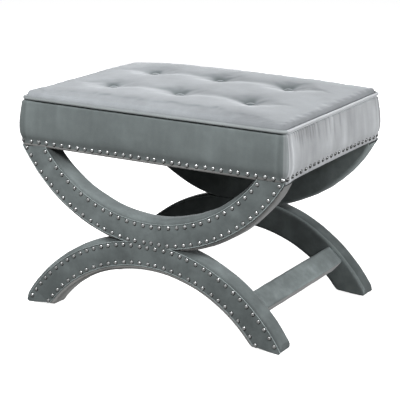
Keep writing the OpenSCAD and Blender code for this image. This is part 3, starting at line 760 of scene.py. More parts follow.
def tufted_height(x, y):
    """Level of the seat's top, drawn down at each button and a little between the buttons of a row."""
    s = seat()
    free = crown_height(x, y)
    middle = crown_height(np.zeros(1), np.zeros(1))[0]
    fall = np.zeros_like(free)
    for i, (tx, ty) in enumerate(tuft_places()):
        away = np.hypot(x - tx, y - ty)
        turn = np.arctan2(y - ty, x - tx)
        near = np.maximum(0, away - s.button_radius * TUFT_START_SHARE)
        deep = s.tuft_depth + (crown_height(np.array([tx]), np.array([ty]))[0] - middle) * TUFT_FALL_SHARE
        steep, wide = STEEP_SHARE * np.exp(-near / STEEP_SPREAD), (1 - STEEP_SHARE) * hill(near, WIDE_SPREAD)
        fall += deep * (steep + wide)
        pleats = sum(share * np.cos(count * turn + step * i) for share, count, step in PLEAT_WAVES)
        fall += PLEAT_DEPTH * pleats * hill(near - PLEAT_AWAY, PLEAT_SPREAD)
    past = np.maximum(0, np.abs(x) - s.tuft_pitch)
    for side in (-1, 1):
        across = y - side * s.tuft_pitch / 2
        fall += s.valley_depth * hill(across, VALLEY_SPREAD) * hill(past, VALLEY_END)
    between = hill(np.maximum(0, np.abs(y) - s.tuft_pitch / 2), COLUMN_END)
    for column in (-1, 0, 1):
        fall += COLUMN_DEPTH * hill(x - column * s.tuft_pitch, COLUMN_SPREAD) * between
    return seam_level() + free - fall


# How the cover behaves while it settles, as Blender's cloth
CLOTH = {
    "quality": 6, "mass": 0.35, "vertex_group_mass": "held",
    "tension_stiffness": 18, "compression_stiffness": 18, "shear_stiffness": 8, "bending_stiffness": 0.7,
    "shrink_min": -0.004, "use_pressure": True, "uniform_pressure_force": 1.0,
}
SETTLING_STEPS = 24
# The most that a point of the cover moves as it settles. It is held at its rim, over this width, and under
# each button, within this share of its radius
MOST_SETTLED, HELD_RIM, HELD_BUTTON_SHARE = 0.0010, 0.004, 0.8


class MakeSeatCushion(bpy.types.Operator):
    """Makes the tufted seat: a crowned velvet top drawn down at six buttons, over its foam"""

    bl_idname = "footstool.make_seat_cushion"
    bl_label = "Seat Cushion"

    # Squares of the cover along X and Y, and how much closer they are at its seams than evenly spaced ones
    squares, gathered = (120, 84), 0.5
    # Each step by which the rim goes down inside the band: how far it drops, and its size beside the last
    rim_steps = ((0.004, 0.990), (0.010, 0.988), (0.0, 1.0))

    def execute(self, context):
        s = seat()
        half = np.array(top_half_sizes())
        deselect()
        along_x, along_y = self.squares
        bpy.ops.mesh.primitive_grid_add(x_subdivisions=along_x, y_subdivisions=along_y, size=2)
        piece = name_active("seat_cushion")
        edit(piece)
        bpy.ops.transform.resize(value=(*half, 1))
        leave_edit()
        co = points(piece)
        co[:, :2] += half * self.gathered * np.sin(np.pi * co[:, :2] / half) / np.pi
        over = np.abs(co[:, :2]) - (half - s.top_corner)
        distance = np.hypot(over[:, 0], over[:, 1])
        outside = (over > 0).all(axis=1) & (distance > s.top_corner)
        pulled = half - s.top_corner + over * (s.top_corner / np.maximum(distance, TINY))[:, None]
        co[outside, :2] = (np.sign(co[:, :2]) * pulled)[outside]
        co[:, 2] = tufted_height(co[:, 0], co[:, 1])
        move_points(piece, co)
        self.settle(piece, *half)
        apply_modifier(piece, "SUBSURF", levels=1, render_levels=1)
        self.close(piece)
        outwards(piece)
        # The top takes a lighter copy of the velvet, painted light, with painted shade on its slopes and
        # towards the right
        finish_piece(piece, "velvet", ["seat_cover", "seat_foam"], finish="velvet_top")
        return {"FINISHED"}

    def settle(self, piece, half_x, half_y):
        """Lets the cover swell and crease between its buttons and seams, as cloth."""
        before = points(piece)
        held = piece.vertex_groups.new(name=CLOTH["vertex_group_mass"])
        at_rim = (np.abs(before[:, 0]) > half_x - HELD_RIM) | (np.abs(before[:, 1]) > half_y - HELD_RIM)
        for tx, ty in tuft_places():
            away = np.hypot(before[:, 0] - tx, before[:, 1] - ty)
            at_rim |= away < seat().button_radius * HELD_BUTTON_SHARE
        held.add([int(i) for i in np.nonzero(at_rim)[0]], 1.0, "REPLACE")
        make_active(piece)
        modifier = piece.modifiers.new("Cloth", "CLOTH")
        for name, value in CLOTH.items():
            setattr(modifier.settings, name, value)
        modifier.settings.effector_weights.gravity = 0
        modifier.collision_settings.use_collision = False
        scene = bpy.context.scene
        for step in range(1, SETTLING_STEPS + 1):
            scene.frame_set(step)
        bpy.ops.object.modifier_apply(modifier=modifier.name)
        scene.frame_set(1)
        moved = points(piece) - before
        far = np.linalg.norm(moved, axis=1)
        keep = np.where(far > MOST_SETTLED, MOST_SETTLED / np.maximum(far, TINY), 1.0)
        move_points(piece, before + moved * keep[:, None])

    def close(self, piece):
        """Takes the cover's rim down inside the band, and closes it underneath."""
        edit(piece)
        bpy.ops.mesh.select_all(action="DESELECT")
        bpy.ops.mesh.select_non_manifold()
        for drop, size in self.rim_steps:
            bpy.ops.mesh.extrude_region_move(TRANSFORM_OT_translate={"value": (0, 0, -drop)})
            bpy.ops.transform.resize(value=(size, size, 1))
        leave_edit()
        co = points(piece)
        halfway_down = seam_level() - self.rim_steps[0][0] - self.rim_steps[1][0] / 2
        co[co[:, 2] < halfway_down, 2] = seat().deck_level
        move_points(piece, co)
        edit(piece)
        extrude_rim()
        bpy.ops.mesh.merge(type="CENTER")
        leave_edit()


# Spreads of the front left corner's fullness and of the hem's droop at the front right one
FULLNESS_SPREAD, DROOP_SPREAD = 0.030, 0.040
# How far from the seat's front and back corners the ends' nails reach their full rise
LIFT_FRONT, LIFT_BACK = 0.13, 0.26


def corner_fullness(x, y):
    """How far the band and its nails stand further out at the front left corner."""
    s = seat()
    return s.corner_fullness * hill(np.hypot(x + s.rail_x, y + s.rail_y), FULLNESS_SPREAD)


def hem_droop(x, y):
    """How far the hem and its nails droop towards the front right corner."""
    s = seat()
    return s.hem_droop * np.exp(-np.hypot(s.rail_x - x, s.rail_y + y) / DROOP_SPREAD)


def side_lift(y):
    """How far the nails on the seat's left and right ends rise between the frames."""
    s = seat()
    front, back = grade(y, -s.rail_y, LIFT_FRONT), grade(s.rail_y - y, 0, LIFT_BACK)
    return s.side_lift * np.sin(np.pi / 2 * front) * np.sin(np.pi / 2 * back)


class MakeBand(bpy.types.Operator):
    """Makes the padded velvet band round the seat, with its seams and puckers"""

    bl_idname = "footstool.make_band"
    bl_label = "Seat Band"

    # Distance between the band's points along it, and its thickness
    spacing, wall = 0.0026, 0.0042
    # Even rows of faces from the hem to this far below the piping, then closer ones at these depths
    even_rows, even_depth, last_depths = 18, 0.006, (0.0042, 0.0026, 0.0012, 0.0)
    # The hem's strip, pale with painted light from the floor, is what lies this far below the nails' line,
    # where normals point less to the side
    strip_below, strip_normal = 0.0042, 0.5
    # The band's left and right sides are where it points further to the side than this
    side_normal = 0.7
    # How far above the nails' line the swell starts, as a share of a nail's radius, and the swell's form
    swell_start_share, swell_power = 0.75, 0.55
    # Cloth bunched at a corner: its spread, its form, and its height at the front left and elsewhere
    bunch_spread, bunch_power, bunches = 0.045, 0.75, (0.0018, 0.0012)
    # How far the hem turns in, over this share of the height, and how far the top does, over this depth
    hem_turn, hem_turn_share = 0.0010, 0.04
    tuck, tuck_depth, tuck_power = 0.0052, 0.0048, 1.6
    # Number of folds on the right, left, front and back
    fold_counts = (26, 22, 16, 22)
    # Folds from the piping, from the hem and between them: seed, part of the count, width and height
    fold_kinds = ((11, 1, 0.0045, 0.0010), (31, 1, 0.0040, 0.0006), (51, 3, 0.010, 0.0012))
    # Where folds from the piping and from the hem begin, and how soon they are full, as shares of the height
    top_grade_shares, hem_grade_shares = (0.35, 0.6), (0.55, -0.5)
    # How the folds fade towards the band's two edges, and the depth of a fold that is fully shaded
    edge_shares, edge_power, full_shade = (0.02, 0.985), 0.35, 0.0016
    # Height, fineness and seed of the broad unevenness
    bulge = (0.0010, 9.0, 3)
    # Share of the height over which the nails' rise and the hem's droop fade out
    lift_share = 0.35
    # Gathers near the front right corner: how far behind it they start and end, and ranges of their distances
    gathers_start, gathers_end, gather_steps = 0.012, 0.135, (0.0075, 0.0125)
    # A gather's width and the form of its end
    gather_width, gather_power = 0.0021, 0.8
    # Ranges of a gather's depth and of its reach down the band
    gather_depths, gather_reach_shares = (0.0020, 0.0036), (0.20, 0.44)
    # How far a gather leans over the band's height, and the range of shares of that
    gather_lean, gather_lean_shares = 0.012, (-0.6, 0.8)
    # Long folds on the right: depth, how soon they are full, and for each its place, width and reach
    long_fold_depth, long_fold_grade = 0.0013, 0.25
    long_fold_shapes = (
        (-0.048, 0.0030, 0.55), (-0.030, 0.0024, 0.45), (-0.012, 0.0034, 0.60), (0.018, 0.0030, 0.40),
    )
    # A corner's pleat: height, distance from the corner and width of its ridge and of its groove
    pleat_ridge, pleat_groove = (0.0015, 0.0125, 0.0028), (0.0014, 0.0070, 0.0024)
    # Two creases round a corner's bend: height, width and places, as angles
    crease_height, crease_width, crease_turns = 0.0013, 0.13, (0.62, 1.08)

    def execute(self, context):
        s = seat()
        hem = s.hem_level - s.hem_lap
        piece = outline_loop("seat_band", s.rail_x, s.rail_y, s.rail_round, self.spacing, hem)
        even = s.band_level - self.even_depth - hem
        rows = [hem + even * i / self.even_rows for i in range(self.even_rows + 1)]
        rows += [s.band_level - depth for depth in self.last_depths]
        edit(piece)
        for low, high in zip(rows, rows[1:]):
            bpy.ops.mesh.extrude_region_move(TRANSFORM_OT_translate={"value": (0, 0, high - low)})
        leave_edit()
        self.shape(piece)
        apply_modifier(piece, "SUBSURF", levels=1, render_levels=1)
        edit(piece)
        extrude_rim()
        inside = (1 - self.wall / s.rail_x, 1 - self.wall / s.rail_y, 1)
        bpy.ops.transform.resize(value=inside, center_override=(0, 0, 0))
        bpy.ops.mesh.bridge_edge_loops()
        leave_edit()
        outwards(piece)
        # The band's front takes the velvet with painted light towards its left end and painted shade in its
        # folds
        finish_piece(piece, "velvet", ["band_cover", "band_wadding"], finish="velvet_front")
        # Painted light: the band's corners and ends take lighter copies of the velvet
        clothe_ends(piece, s.rail_x, s.rail_y, s.rail_round, ("velvet_corner", "velvet_side"))
        # Painted light from the floor on the hem below the nails
        clothe_faces(piece, "velvet_under", self.on_hem)
        return {"FINISHED"}

    def on_hem(self, centres, normals):
        """Finds the faces of the hem below the nails, at the front and the back."""
        below = centres[:, 2] < seat().nail_level - self.strip_below
        return below & (np.abs(normals[:, 0]) < self.strip_normal)

    def shape(self, piece):
        """Pads the band out from the rails, fullest low down, and gathers it under the piping."""
        s = seat()
        co = points(piece)
        out = rim_directions(co, s.rail_x, s.rail_y, s.rail_round)
        low = s.hem_level - s.hem_lap
        up = (co[:, 2] - low) / (s.band_level - low)
        from_corner = np.hypot(s.rail_x - np.abs(co[:, 0]), s.rail_y - np.abs(co[:, 1]))
        swell = self.padding(co, up, from_corner)
        on_side = np.abs(out[:, 0]) > self.side_normal
        along = np.where(on_side, co[:, 1], co[:, 0])
        folds = self.folds(out, on_side, along, up)
        edge_fade = np.sin(np.pi * np.clip(up, *self.edge_shares)) ** self.edge_power
        pleat = self.pleats(from_corner, np.arctan2(np.abs(out[:, 0]), np.abs(out[:, 1])))
        # Painted shade and light: the fold attribute darkens the velvet in the folds' grooves and lightens it
        # on their ridges
        shade = piece.data.attributes.new("fold", "FLOAT", "POINT")
        shade.data.foreach_set("value", np.clip(-(folds + pleat) / self.full_shade, -1, 1))
        bulge = unevenness(co, *self.bulge)
        co[:, :2] += out * (swell + (folds + bulge + pleat) * edge_fade)[:, None]
        lift = np.where(on_side, side_lift(co[:, 1]), 0)
        lift = np.where(up < self.edge_shares[0], np.minimum(lift, s.hem_lap), lift)
        fade = np.clip(1 - up / self.lift_share, 0, 1)
        co[:, 2] += (lift - hem_droop(co[:, 0], co[:, 1])) * fade
        move_points(piece, co)

    def padding(self, co, up, from_corner):
        """How far the padding holds each point of the band out from the rails."""
        s = seat()
        above_nails = s.nail_level + nails().radius * self.swell_start_share
        rise = grade(co[:, 2], above_nails, s.band_level - above_nails)
        front_left = (co[:, 0] < 0) & (co[:, 1] < 0)
        bunched = hill(from_corner, self.bunch_spread) * np.where(front_left, *self.bunches)
        swell = s.hem_out * (1 - rise) + s.top_out * rise
        swell += s.swell * np.sin(np.pi * rise**self.swell_power)
        swell += bunched * np.sin(np.pi * rise**self.bunch_power)
        swell += corner_fullness(co[:, 0], co[:, 1])
        swell -= self.hem_turn * grade(up, self.hem_turn_share, -self.hem_turn_share) ** 2
        tucked = grade(co[:, 2], s.band_level - self.tuck_depth, self.tuck_depth)
        swell -= self.tuck * tucked**self.tuck_power
        return swell

    def folds(self, out, on_side, along, up):
        """Random folds on all sides, and the gathers and long folds on the right."""
        s = seat()
        right, left = on_side & (out[:, 0] > 0), on_side & (out[:, 0] < 0)
        front, back = ~on_side & (out[:, 1] < 0), ~on_side & (out[:, 1] > 0)
        sides = zip((right, left, front, back), (s.rail_y, s.rail_y, s.rail_x, s.rail_x), self.fold_counts)
        folds = np.zeros(len(along))
        for side, (mask, half, count) in enumerate(sides):
            from_top, from_hem, full = (
                ripples(along, side, seed, count // part, half, width, height)
                for seed, part, width, height in self.fold_kinds
            )
            ends = from_top * grade(up, *self.top_grade_shares) + from_hem * grade(up, *self.hem_grade_shares)
            folds[mask] = (ends + full * np.sin(np.pi * np.clip(up, 0, 1)))[mask]
        return folds + (self.gathers(along, up) + self.long_folds(along, up)) * right

    def gathers(self, along, up):
        """Short creases under the piping, close together near the front corner of the right side."""
        chance = random.Random(7)
        total = np.zeros_like(along)
        front = -seat().rail_y
        place = front + self.gathers_start
        while place < front + self.gathers_end:
            reach = chance.uniform(*self.gather_reach_shares)
            tall = chance.uniform(*self.gather_depths)
            fade = grade(up, 1 - reach, reach) ** self.gather_power
            lean = place + self.gather_lean * (1 - up) * chance.uniform(*self.gather_lean_shares)
            total -= tall * hill(along - lean, self.gather_width) * fade
            place += chance.uniform(*self.gather_steps)
        return total

    def long_folds(self, along, up):
        """Soft folds from the piping down the middle of the right side."""
        total = np.zeros_like(along)
        for place, width, reach in self.long_fold_shapes:
            fade = grade(up, 1 - reach, self.long_fold_grade)
            total -= self.long_fold_depth * hill(along - place, width) * fade
        return total

    def pleats(self, from_corner, turn):
        """The folded pleat at each corner: a ridge beside a groove, and two creases round the bend."""
        shapes = (self.pleat_ridge, self.pleat_groove)
        ridge, groove = (height * hill(from_corner - place, width) for height, place, width in shapes)
        creases = sum(hill(turn - place, self.crease_width) for place in self.crease_turns)
        return ridge - groove + self.crease_height * creases


class MakePiping(bpy.types.Operator):
    """Makes the velvet piping cord round the seat's top edge"""

    bl_idname = "footstool.make_piping"
    bl_label = "Piping"

    # Distance between the cord's points, fineness of its roundness, and its waves' height, fineness and seed
    spacing, round_steps, waves = 0.006, 4, (0.00035, 16.0, 5)

    def execute(self, context):
        s = seat()
        z = s.band_level + s.piping_radius
        half_x, half_y = s.rail_x + s.piping_out, s.rail_y + s.piping_out
        piece = outline_loop("seat_piping_cord", half_x, half_y, s.top_corner, self.spacing, z)
        co = points(piece)
        co[:, 2] += unevenness(co, *self.waves)
        move_points(piece, co)
        make_active(piece)
        bpy.ops.object.convert(target="CURVE")
        piece = bpy.context.active_object
        piece.data.bevel_depth = s.piping_radius
        piece.data.bevel_resolution = self.round_steps
        bpy.ops.object.convert(target="MESH")
        piece = bpy.context.active_object
        outwards(piece)
        # The piping's front and ends take lighter copies of the velvet, painted light
        finish_piece(piece, "velvet", ["seat_piping"], finish="velvet_cord")
        clothe_ends(piece, half_x, half_y, s.top_corner, ("velvet_cord", "velvet_cord_side"))
        return {"FINISHED"}


class MakeButtons(bpy.types.Operator):
    """Makes the six covered buttons"""

    bl_idname = "footstool.make_buttons"
    bl_label = "Tuft Buttons"

    # Where a button is cut off below, as a share of its height, and how far it stands out of its tuft
    cut_share, raised = -0.12, 0.0005
    # Height of the folds round a button's rim, and how many there are in its two waves
    fold_height, fold_counts = 0.00025, (9, 5)

    def execute(self, context):
        s = seat()
        deselect()
        bpy.ops.mesh.primitive_uv_sphere_add(segments=28, ring_count=18, radius=1)
        first = bpy.context.active_object
        edit(first)
        bpy.ops.transform.resize(value=(s.button_radius, s.button_radius, s.button_height))
        bpy.ops.mesh.select_all(action="SELECT")
        cut = (0, 0, self.cut_share * s.button_height)
        bpy.ops.mesh.bisect(plane_co=cut, plane_no=(0, 0, 1), use_fill=True, clear_inner=True)
        leave_edit()
        for i, (x, y) in enumerate(tuft_places()):
            button = copy_piece(first, f"tuft_button_{i + 1}")
            co = points(button)
            turn = np.arctan2(co[:, 1], co[:, 0])
            rim = np.clip(np.hypot(co[:, 0], co[:, 1]) / s.button_radius, 0, 1)
            chance = random.Random(70 + i)
            folds = sum(np.cos(count * turn + chance.uniform(0, 6)) * 0.5 for count in self.fold_counts)
            co[:, 2] += self.fold_height * folds * rim**4
            z = float(tufted_height(np.array([x]), np.array([y]))[0])
            move_points(button, co + np.array([x, y, z + self.raised]))
            outwards(button)
            # The buttons take the top's copy, with its painted light and shade
            finish_piece(button, "velvet", ["tuft_buttons"], smooth=math.radians(50), finish="velvet_top")
        bpy.data.objects.remove(first)
        return {"FINISHED"}


def arc_centre():
    """Height of an upper arc's centre above the crossing."""
    return arcs().radius - arcs().cut


# Arcs are spun this far to each side, past their ends, before they are trimmed
SPIN_REACH = math.radians(63)
# An arc whose two ends differ more than this was spun the wrong way
MOST_LOPSIDED = 0.02


def spin_section(name, r_low, r_high, y_low, y_high, corner, steps):
    """Spins a rounded rectangle round the arc's centre, past both of its ends. The crossing is at z = 0."""
    y_middle, centre = (y_low + y_high) / 2, (0, (y_low + y_high) / 2, arc_centre())
    deselect()
    bpy.ops.mesh.primitive_plane_add(
        size=2, location=(0, y_middle, arc_centre() - (r_low + r_high) / 2), rotation=(0, math.pi / 2, 0)
    )
    piece = name_active(name)
    edit(piece)
    bpy.ops.transform.resize(value=(1, (y_high - y_low) / 2, (r_high - r_low) / 2))
    leave_edit()
    apply_place(piece)
    edit(piece)
    bpy.ops.mesh.bevel(offset=corner, segments=3, affect="VERTICES")
    bpy.ops.mesh.select_all(action="SELECT")
    bpy.ops.mesh.delete(type="ONLY_FACE")
    bpy.ops.mesh.select_all(action="SELECT")
    bpy.ops.transform.rotate(value=SPIN_REACH, orient_axis="Y", center_override=centre)
    leave_edit()
    angle = math.copysign(2 * SPIN_REACH, -points(piece)[:, 0].mean())
    edit(piece)
    bpy.ops.mesh.spin(steps=steps, angle=angle, center=centre, axis=(0, 1, 0))
    leave_edit()
    if abs(points(piece)[:, 0].max() + points(piece)[:, 0].min()) > MOST_LOPSIDED:
        raise RuntimeError("the arc was spun the wrong way")
    edit(piece)
    bpy.ops.mesh.fill_holes(sides=0)
    leave_edit()
    return piece


def trim_arc(piece):
    """Cuts an arc off at the crossing, at its ends' level and at the reach of the feet."""
    a = arcs()
    rise = a.top - a.crossing
    for place, normal in (
        ((0, 0, rise), (0, 0, 1)), ((a.reach, 0, 0), (1, 0, 0)), ((-a.reach, 0, 0), (-1, 0, 0)),
        ((0, 0, 0), (0, 0, -1)),
    ):
        edit(piece)
        bpy.ops.mesh.bisect(plane_co=place, plane_no=normal, use_fill=True, clear_outer=True)
        leave_edit()


def place_in_frame(piece, back, lower):
    """Takes an arc's piece, made from the crossing about a frame's middle, to its own place."""
    a = arcs()
    co = points(piece)
    if lower:
        co[:, 2] *= -1
    co += np.array([0, -a.middle, a.crossing])
    if back:
        co[:, :2] *= -1
    move_points(piece, co)
    outwards(piece)


ARCS = [(back, lower) for back in (False, True) for lower in (False, True)]


def arc_name(back, lower):
    return f"{'back' if back else 'front'}_{'lower' if lower else 'upper'}"


def centre_level(lower):
    """Level of an arc's centre."""
    return arcs().crossing + (-arc_centre() if lower else arc_centre())


def polar(co):
    """Each point's distance and turn about the arc's centre, while the crossing is at z = 0."""
    return np.hypot(co[:, 0], arc_centre() - co[:, 2]), np.arctan2(co[:, 0], arc_centre() - co[:, 2])


def move_outwards(co, turn, move):
    """Moves points away from the arc's centre."""
    co += np.stack([np.sin(turn), np.zeros(len(co)), -np.cos(turn)], axis=1) * move[:, None]


# Radii of the lower edges of a foot: on the arc's inner and outer side, and on its two faces
FOOT_INNER, FOOT_OUTER, FOOT_FACE = 0.007, 0.005, 0.003


def rounded(above, size):
    """How far an edge of this radius draws in at a height above the foot's underside."""
    down = np.clip(1 - above / size, 0, 1)
    return size * (1 - np.sqrt(1 - down**2))


def round_foot(radial, above):
    """How far a foot's sides draw in along the radius; radial is -1 at the inner side, 1 at the outer."""
    inner, outer = np.clip(-radial, 0, 1), np.clip(radial, 0, 1)
    return rounded(above, FOOT_INNER) * inner - rounded(above, FOOT_OUTER) * outer


class MakeArcCovers(bpy.types.Operator):
    """Makes the velvet covers of the four arcs"""

    bl_idname = "footstool.make_arc_covers"
    bl_label = "Arc Covers"

    # Radius of the covers' edges, their steps along the arc, and the fineness and smoothing of their mesh
    corner, steps, voxel, smoothing = 0.003, 84, 0.0026, 7
    # The surface that looks down on the floor, pale with painted light from the floor, takes in this much of
    # the arc below and above the crossing
    floor_lower, floor_upper = 0.0050, 0.0025
    # Normals of the inner faces, which get painted shade and light, and of the seam between them and the outer
    # surfaces, which gets a painted highlight
    inner_normal, seam_normal = -0.7, 0.45
    # Where across the width, from -1 to 1, the padding's edge begins, and how soon it is full
    edge_grade = (0.80, 0.15)
    # Distance over which an upper arc's padding begins below its end, and how far its end is drawn in there
    end_padding, end_drawn, end_spread = 0.11, 0.0025, 0.030
    # The strips beside the nails stand out by this much. They begin at these places across the width and depth
    strip, strip_width_grade, strip_depth_grade = 0.0013, (0.76, 0.10), (0.75, 0.15)
    # Puckers across the edges: first seed, number, reach along the arc, width and height
    puckers = (101, 46, 0.36, 0.005, 0.0007)
    # Where across the depth the puckers are gone, and over how much of it they fade
    pucker_grade = (1.1, -1.0)
    # Broad unevenness: height, fineness and first seed
    bulge = (0.0009, 18.0, 20)
    # Folds at the feet: first seed, number, reach, width and height, and their lean
    foot_folds, foot_lean = (141, 16, 0.12, 0.0035, 0.0014), 0.25
    # Over this length towards an arc's end, the cloth's move shrinks from the first share to the least one
    end_length, end_share, least_share = 0.030, 1.6, 0.35
    # The cloth moves in full from this far past the crossing, and stays this far from the arc's two cuts
    crossing_length, cut_space = 0.004, 0.0001

    def execute(self, context):
        a = arcs()
        y_low, y_high = -a.thickness / 2 + a.cloth, a.thickness / 2
        inner = a.radius - a.width
        first = spin_section("arc_cover", inner, a.radius, y_low, y_high, self.corner, self.steps)
        trim_arc(first)
        outwards(first)
        apply_modifier(first, "REMESH", mode="VOXEL", voxel_size=self.voxel)
        apply_modifier(first, "SMOOTH", factor=0.5, iterations=self.smoothing)
        for i, (back, lower) in enumerate(ARCS):
            piece = copy_piece(first, arc_name(back, lower) + "_cover")
            self.crease(piece, i, lower)
            place_in_frame(piece, back, lower)
            # Painted shade: the upper arcs are darker towards the right and under the band, the lower ones
            # towards the right and under the crossing
            finish = "velvet_lower" if lower else "velvet_edge"
            finish_piece(piece, "velvet", [arc_name(back, lower) + "_wrap"], finish=finish)
            # Painted light from the floor on the surfaces that look down on it; the back upper arcs take the
            # seam's lighter copy there
            if not (back and lower):
                clothe_faces(piece, "velvet_seam" if back else "velvet_under", self.over_floor(lower))
            if back:
                # Painted shade and light on the back arcs' inner faces, and a painted highlight along their
                # seam
                clothe_faces(piece, "velvet_inner", self.on_inner_face)
                clothe_faces(piece, "velvet_seam", self.on_seam(lower))
        bpy.data.objects.remove(first)
        return {"FINISHED"}

    def over_floor(self, lower):
        """Makes the test that finds the faces of an arc's surface that looks down on the floor."""
        a = arcs()

        def test(centres, normals):
            r = np.hypot(centres[:, 0], centres[:, 2] - centre_level(lower))
            return r < a.radius - a.width + self.floor_lower if lower else r > a.radius - self.floor_upper

        return test

    def on_inner_face(self, centres, normals):
        """Finds the face of a back arc that looks at the front frame."""
        return normals[:, 1] < self.inner_normal

    def on_seam(self, lower):
        """Makes the test that finds the seam between a back arc's inner face and its outer surface."""

        def test(centres, normals):
            away = centres[:, [0, 2]] - np.array([0, centre_level(lower)])
            outward = (normals[:, [0, 2]] * away).sum(axis=1) / np.hypot(away[:, 0], away[:, 1])
            return (outward > self.seam_normal) & (normals[:, 1] < -self.seam_normal)

        return test

    def crease(self, piece, i, lower):
        """Fills the cloth out between its edges, puckers it across them, and folds it at the feet."""
        a = arcs()
        co = points(piece)
        rise = a.top - a.crossing
        r, turn = polar(co)
        mid = a.radius - a.width / 2
        along = turn * mid
        radial = (r - mid) / (a.width / 2)
        across = co[:, 1] / (a.thickness / 2)
        fullness = np.where(radial < 0, a.fill_in, a.fill_out) * np.clip(1 - across**4, 0, 1)
        if not lower:
            fullness *= grade(rise - co[:, 2], 0, self.end_padding)
            fullness -= self.end_drawn * (radial > 0) * hill(rise - co[:, 2], self.end_spread)
        beside_nails = grade(np.abs(radial), *self.strip_width_grade)
        co[:, 1] -= self.strip * (beside_nails * grade(-across, *self.strip_depth_grade))
        puckers = ripples(along, i, *self.puckers) * grade(np.abs(across), *self.pucker_grade)
        move = puckers + unevenness(co * np.array([1, 0.5, 1]), *self.bulge, i) + fullness
        near_end = np.clip((co[:, 2] - rise + self.end_length) / self.end_length, 0, 1)
        if lower:
            move += near_end * ripples(co[:, 1] + along * self.foot_lean, i, *self.foot_folds)
        at_crossing = grade(co[:, 2], 0, self.crossing_length)
        on_edge = grade(np.abs(radial), *self.edge_grade)
        held = np.clip(self.end_share - near_end, self.least_share, 1)
        move *= on_edge * np.sign(radial) * at_crossing * held
        if lower:
            move += round_foot(radial, rise - co[:, 2])
            face_in = rounded(rise - co[:, 2], FOOT_FACE) * np.clip(np.abs(across), 0, 1)
            co[:, 1] -= np.sign(co[:, 1]) * face_in
        move_outwards(co, turn, move)
        co[:, 2] = np.clip(co[:, 2], self.cut_space, rise - self.cut_space)
        co[:, 0] = np.clip(co[:, 0], -a.reach, a.reach)
        move_points(piece, co)


class MakeFacePanels(bpy.types.Operator):
    """Makes the velvet panels on the arcs' faces, with their turned edges"""

    bl_idname = "footstool.make_face_panels"
    bl_label = "Face Panels"

    # How far a panel stands out, how deep it reaches behind its cloth, the radius of its edges, and its steps
    proud, sunk, corner, steps = 0.0002, 0.0006, 0.0008, 150
    # Shares of a welt's radius: how far it stands out, the radius of its edges, and how near its faces are
    welt_out_share, welt_corner_share, welt_near_share = 1.1, 0.75, 1.05
    # Height, fineness and first seed of the panel's waves
    waves = (0.0002, 40.0, 60)
    # Points further out than these are on the panel's front, and on a welt
    on_front, on_welt = 0.0001, 0.0004

    def execute(self, context):
        a = arcs()
        edges = (a.radius - a.width + a.inner_row - a.overhang, a.radius - a.outer_row + a.overhang)
        y_face = -a.thickness / 2
        for i, (back, lower) in enumerate(ARCS):
            name = arc_name(back, lower)
            y_low, y_high = y_face - self.proud, y_face + a.cloth + self.sunk
            piece = spin_section(name + "_panel", *edges, y_low, y_high, self.corner, self.steps)
            y_low, y_high = y_face - a.welt * self.welt_out_share, y_face + self.sunk
            welts = [
                spin_section(
                    f"{name}_welt_{n}", edge - a.welt, edge + a.welt, y_low, y_high,
                    a.welt * self.welt_corner_share, self.steps,
                )
                for n, edge in enumerate(edges)
            ]
            piece = join_pieces([piece, *welts], name + "_panel")
            trim_arc(piece)
            co = points(piece)
            front = co[:, 1] < y_face - self.on_front
            co[front, 1] += unevenness(co, *self.waves, i)[front]
            r, turn = polar(co)
            if lower:
                radial = (r - a.radius + a.width / 2) / (a.width / 2)
                move_outwards(co, turn, round_foot(radial, a.top - a.crossing - co[:, 2]))
            move_points(piece, co)
            near = np.minimum(*(np.abs(r - edge) for edge in edges)) < a.welt * self.welt_near_share
            in_relief = near & (co[:, 1] < y_face - self.on_welt)
            welt_faces = [face.index for face in piece.data.polygons if in_relief[list(face.vertices)].all()]
            place_in_frame(piece, back, lower)
            # The panel takes the velvet with painted shade lower down and towards the right
            finish_piece(piece, "velvet", [name + "_face"], smooth=math.radians(40))
            # Painted highlight: the welts take a much lighter copy of the velvet
            piece.data.materials.append(bpy.data.materials["velvet_welt"])
            for index in welt_faces:
                piece.data.polygons[index].material_index = 1
        return {"FINISHED"}


# Depth of a nail head's straight foot, and how far the heads on the arcs and the band are let in
NAIL_FOOT, ARC_NAILS_IN, BAND_NAILS_IN = 0.0004, 0.0004, 0.0002
# How much a nail's tilt varies
NAIL_TILT = 0.05


def nail_head(name):
    """One domed head on the plane z = 0, with a few dozen faces."""
    n = nails()
    dome = (n.radius**2 + n.height**2) / (2 * n.height)
    deselect()
    bpy.ops.mesh.primitive_uv_sphere_add(
        segments=12, ring_count=14, radius=dome, location=(0, 0, n.height - dome)
    )
    piece = name_active(name)
    apply_place(piece)
    edit(piece)
    bpy.ops.mesh.bisect(plane_co=(0, 0, NAIL_FOOT), plane_no=(0, 0, 1), clear_inner=True)
    extrude_rim(NAIL_FOOT)
    bpy.ops.mesh.edge_face_add()
    leave_edit()
    outwards(piece)
    piece.data.materials.append(bpy.data.materials["nickel"])
    # Painted shade: the head's rim takes the darker nickel
    clothe_faces(piece, "nickel_rim", lambda centres, normals: centres[:, 2] < n.rim)
    return piece


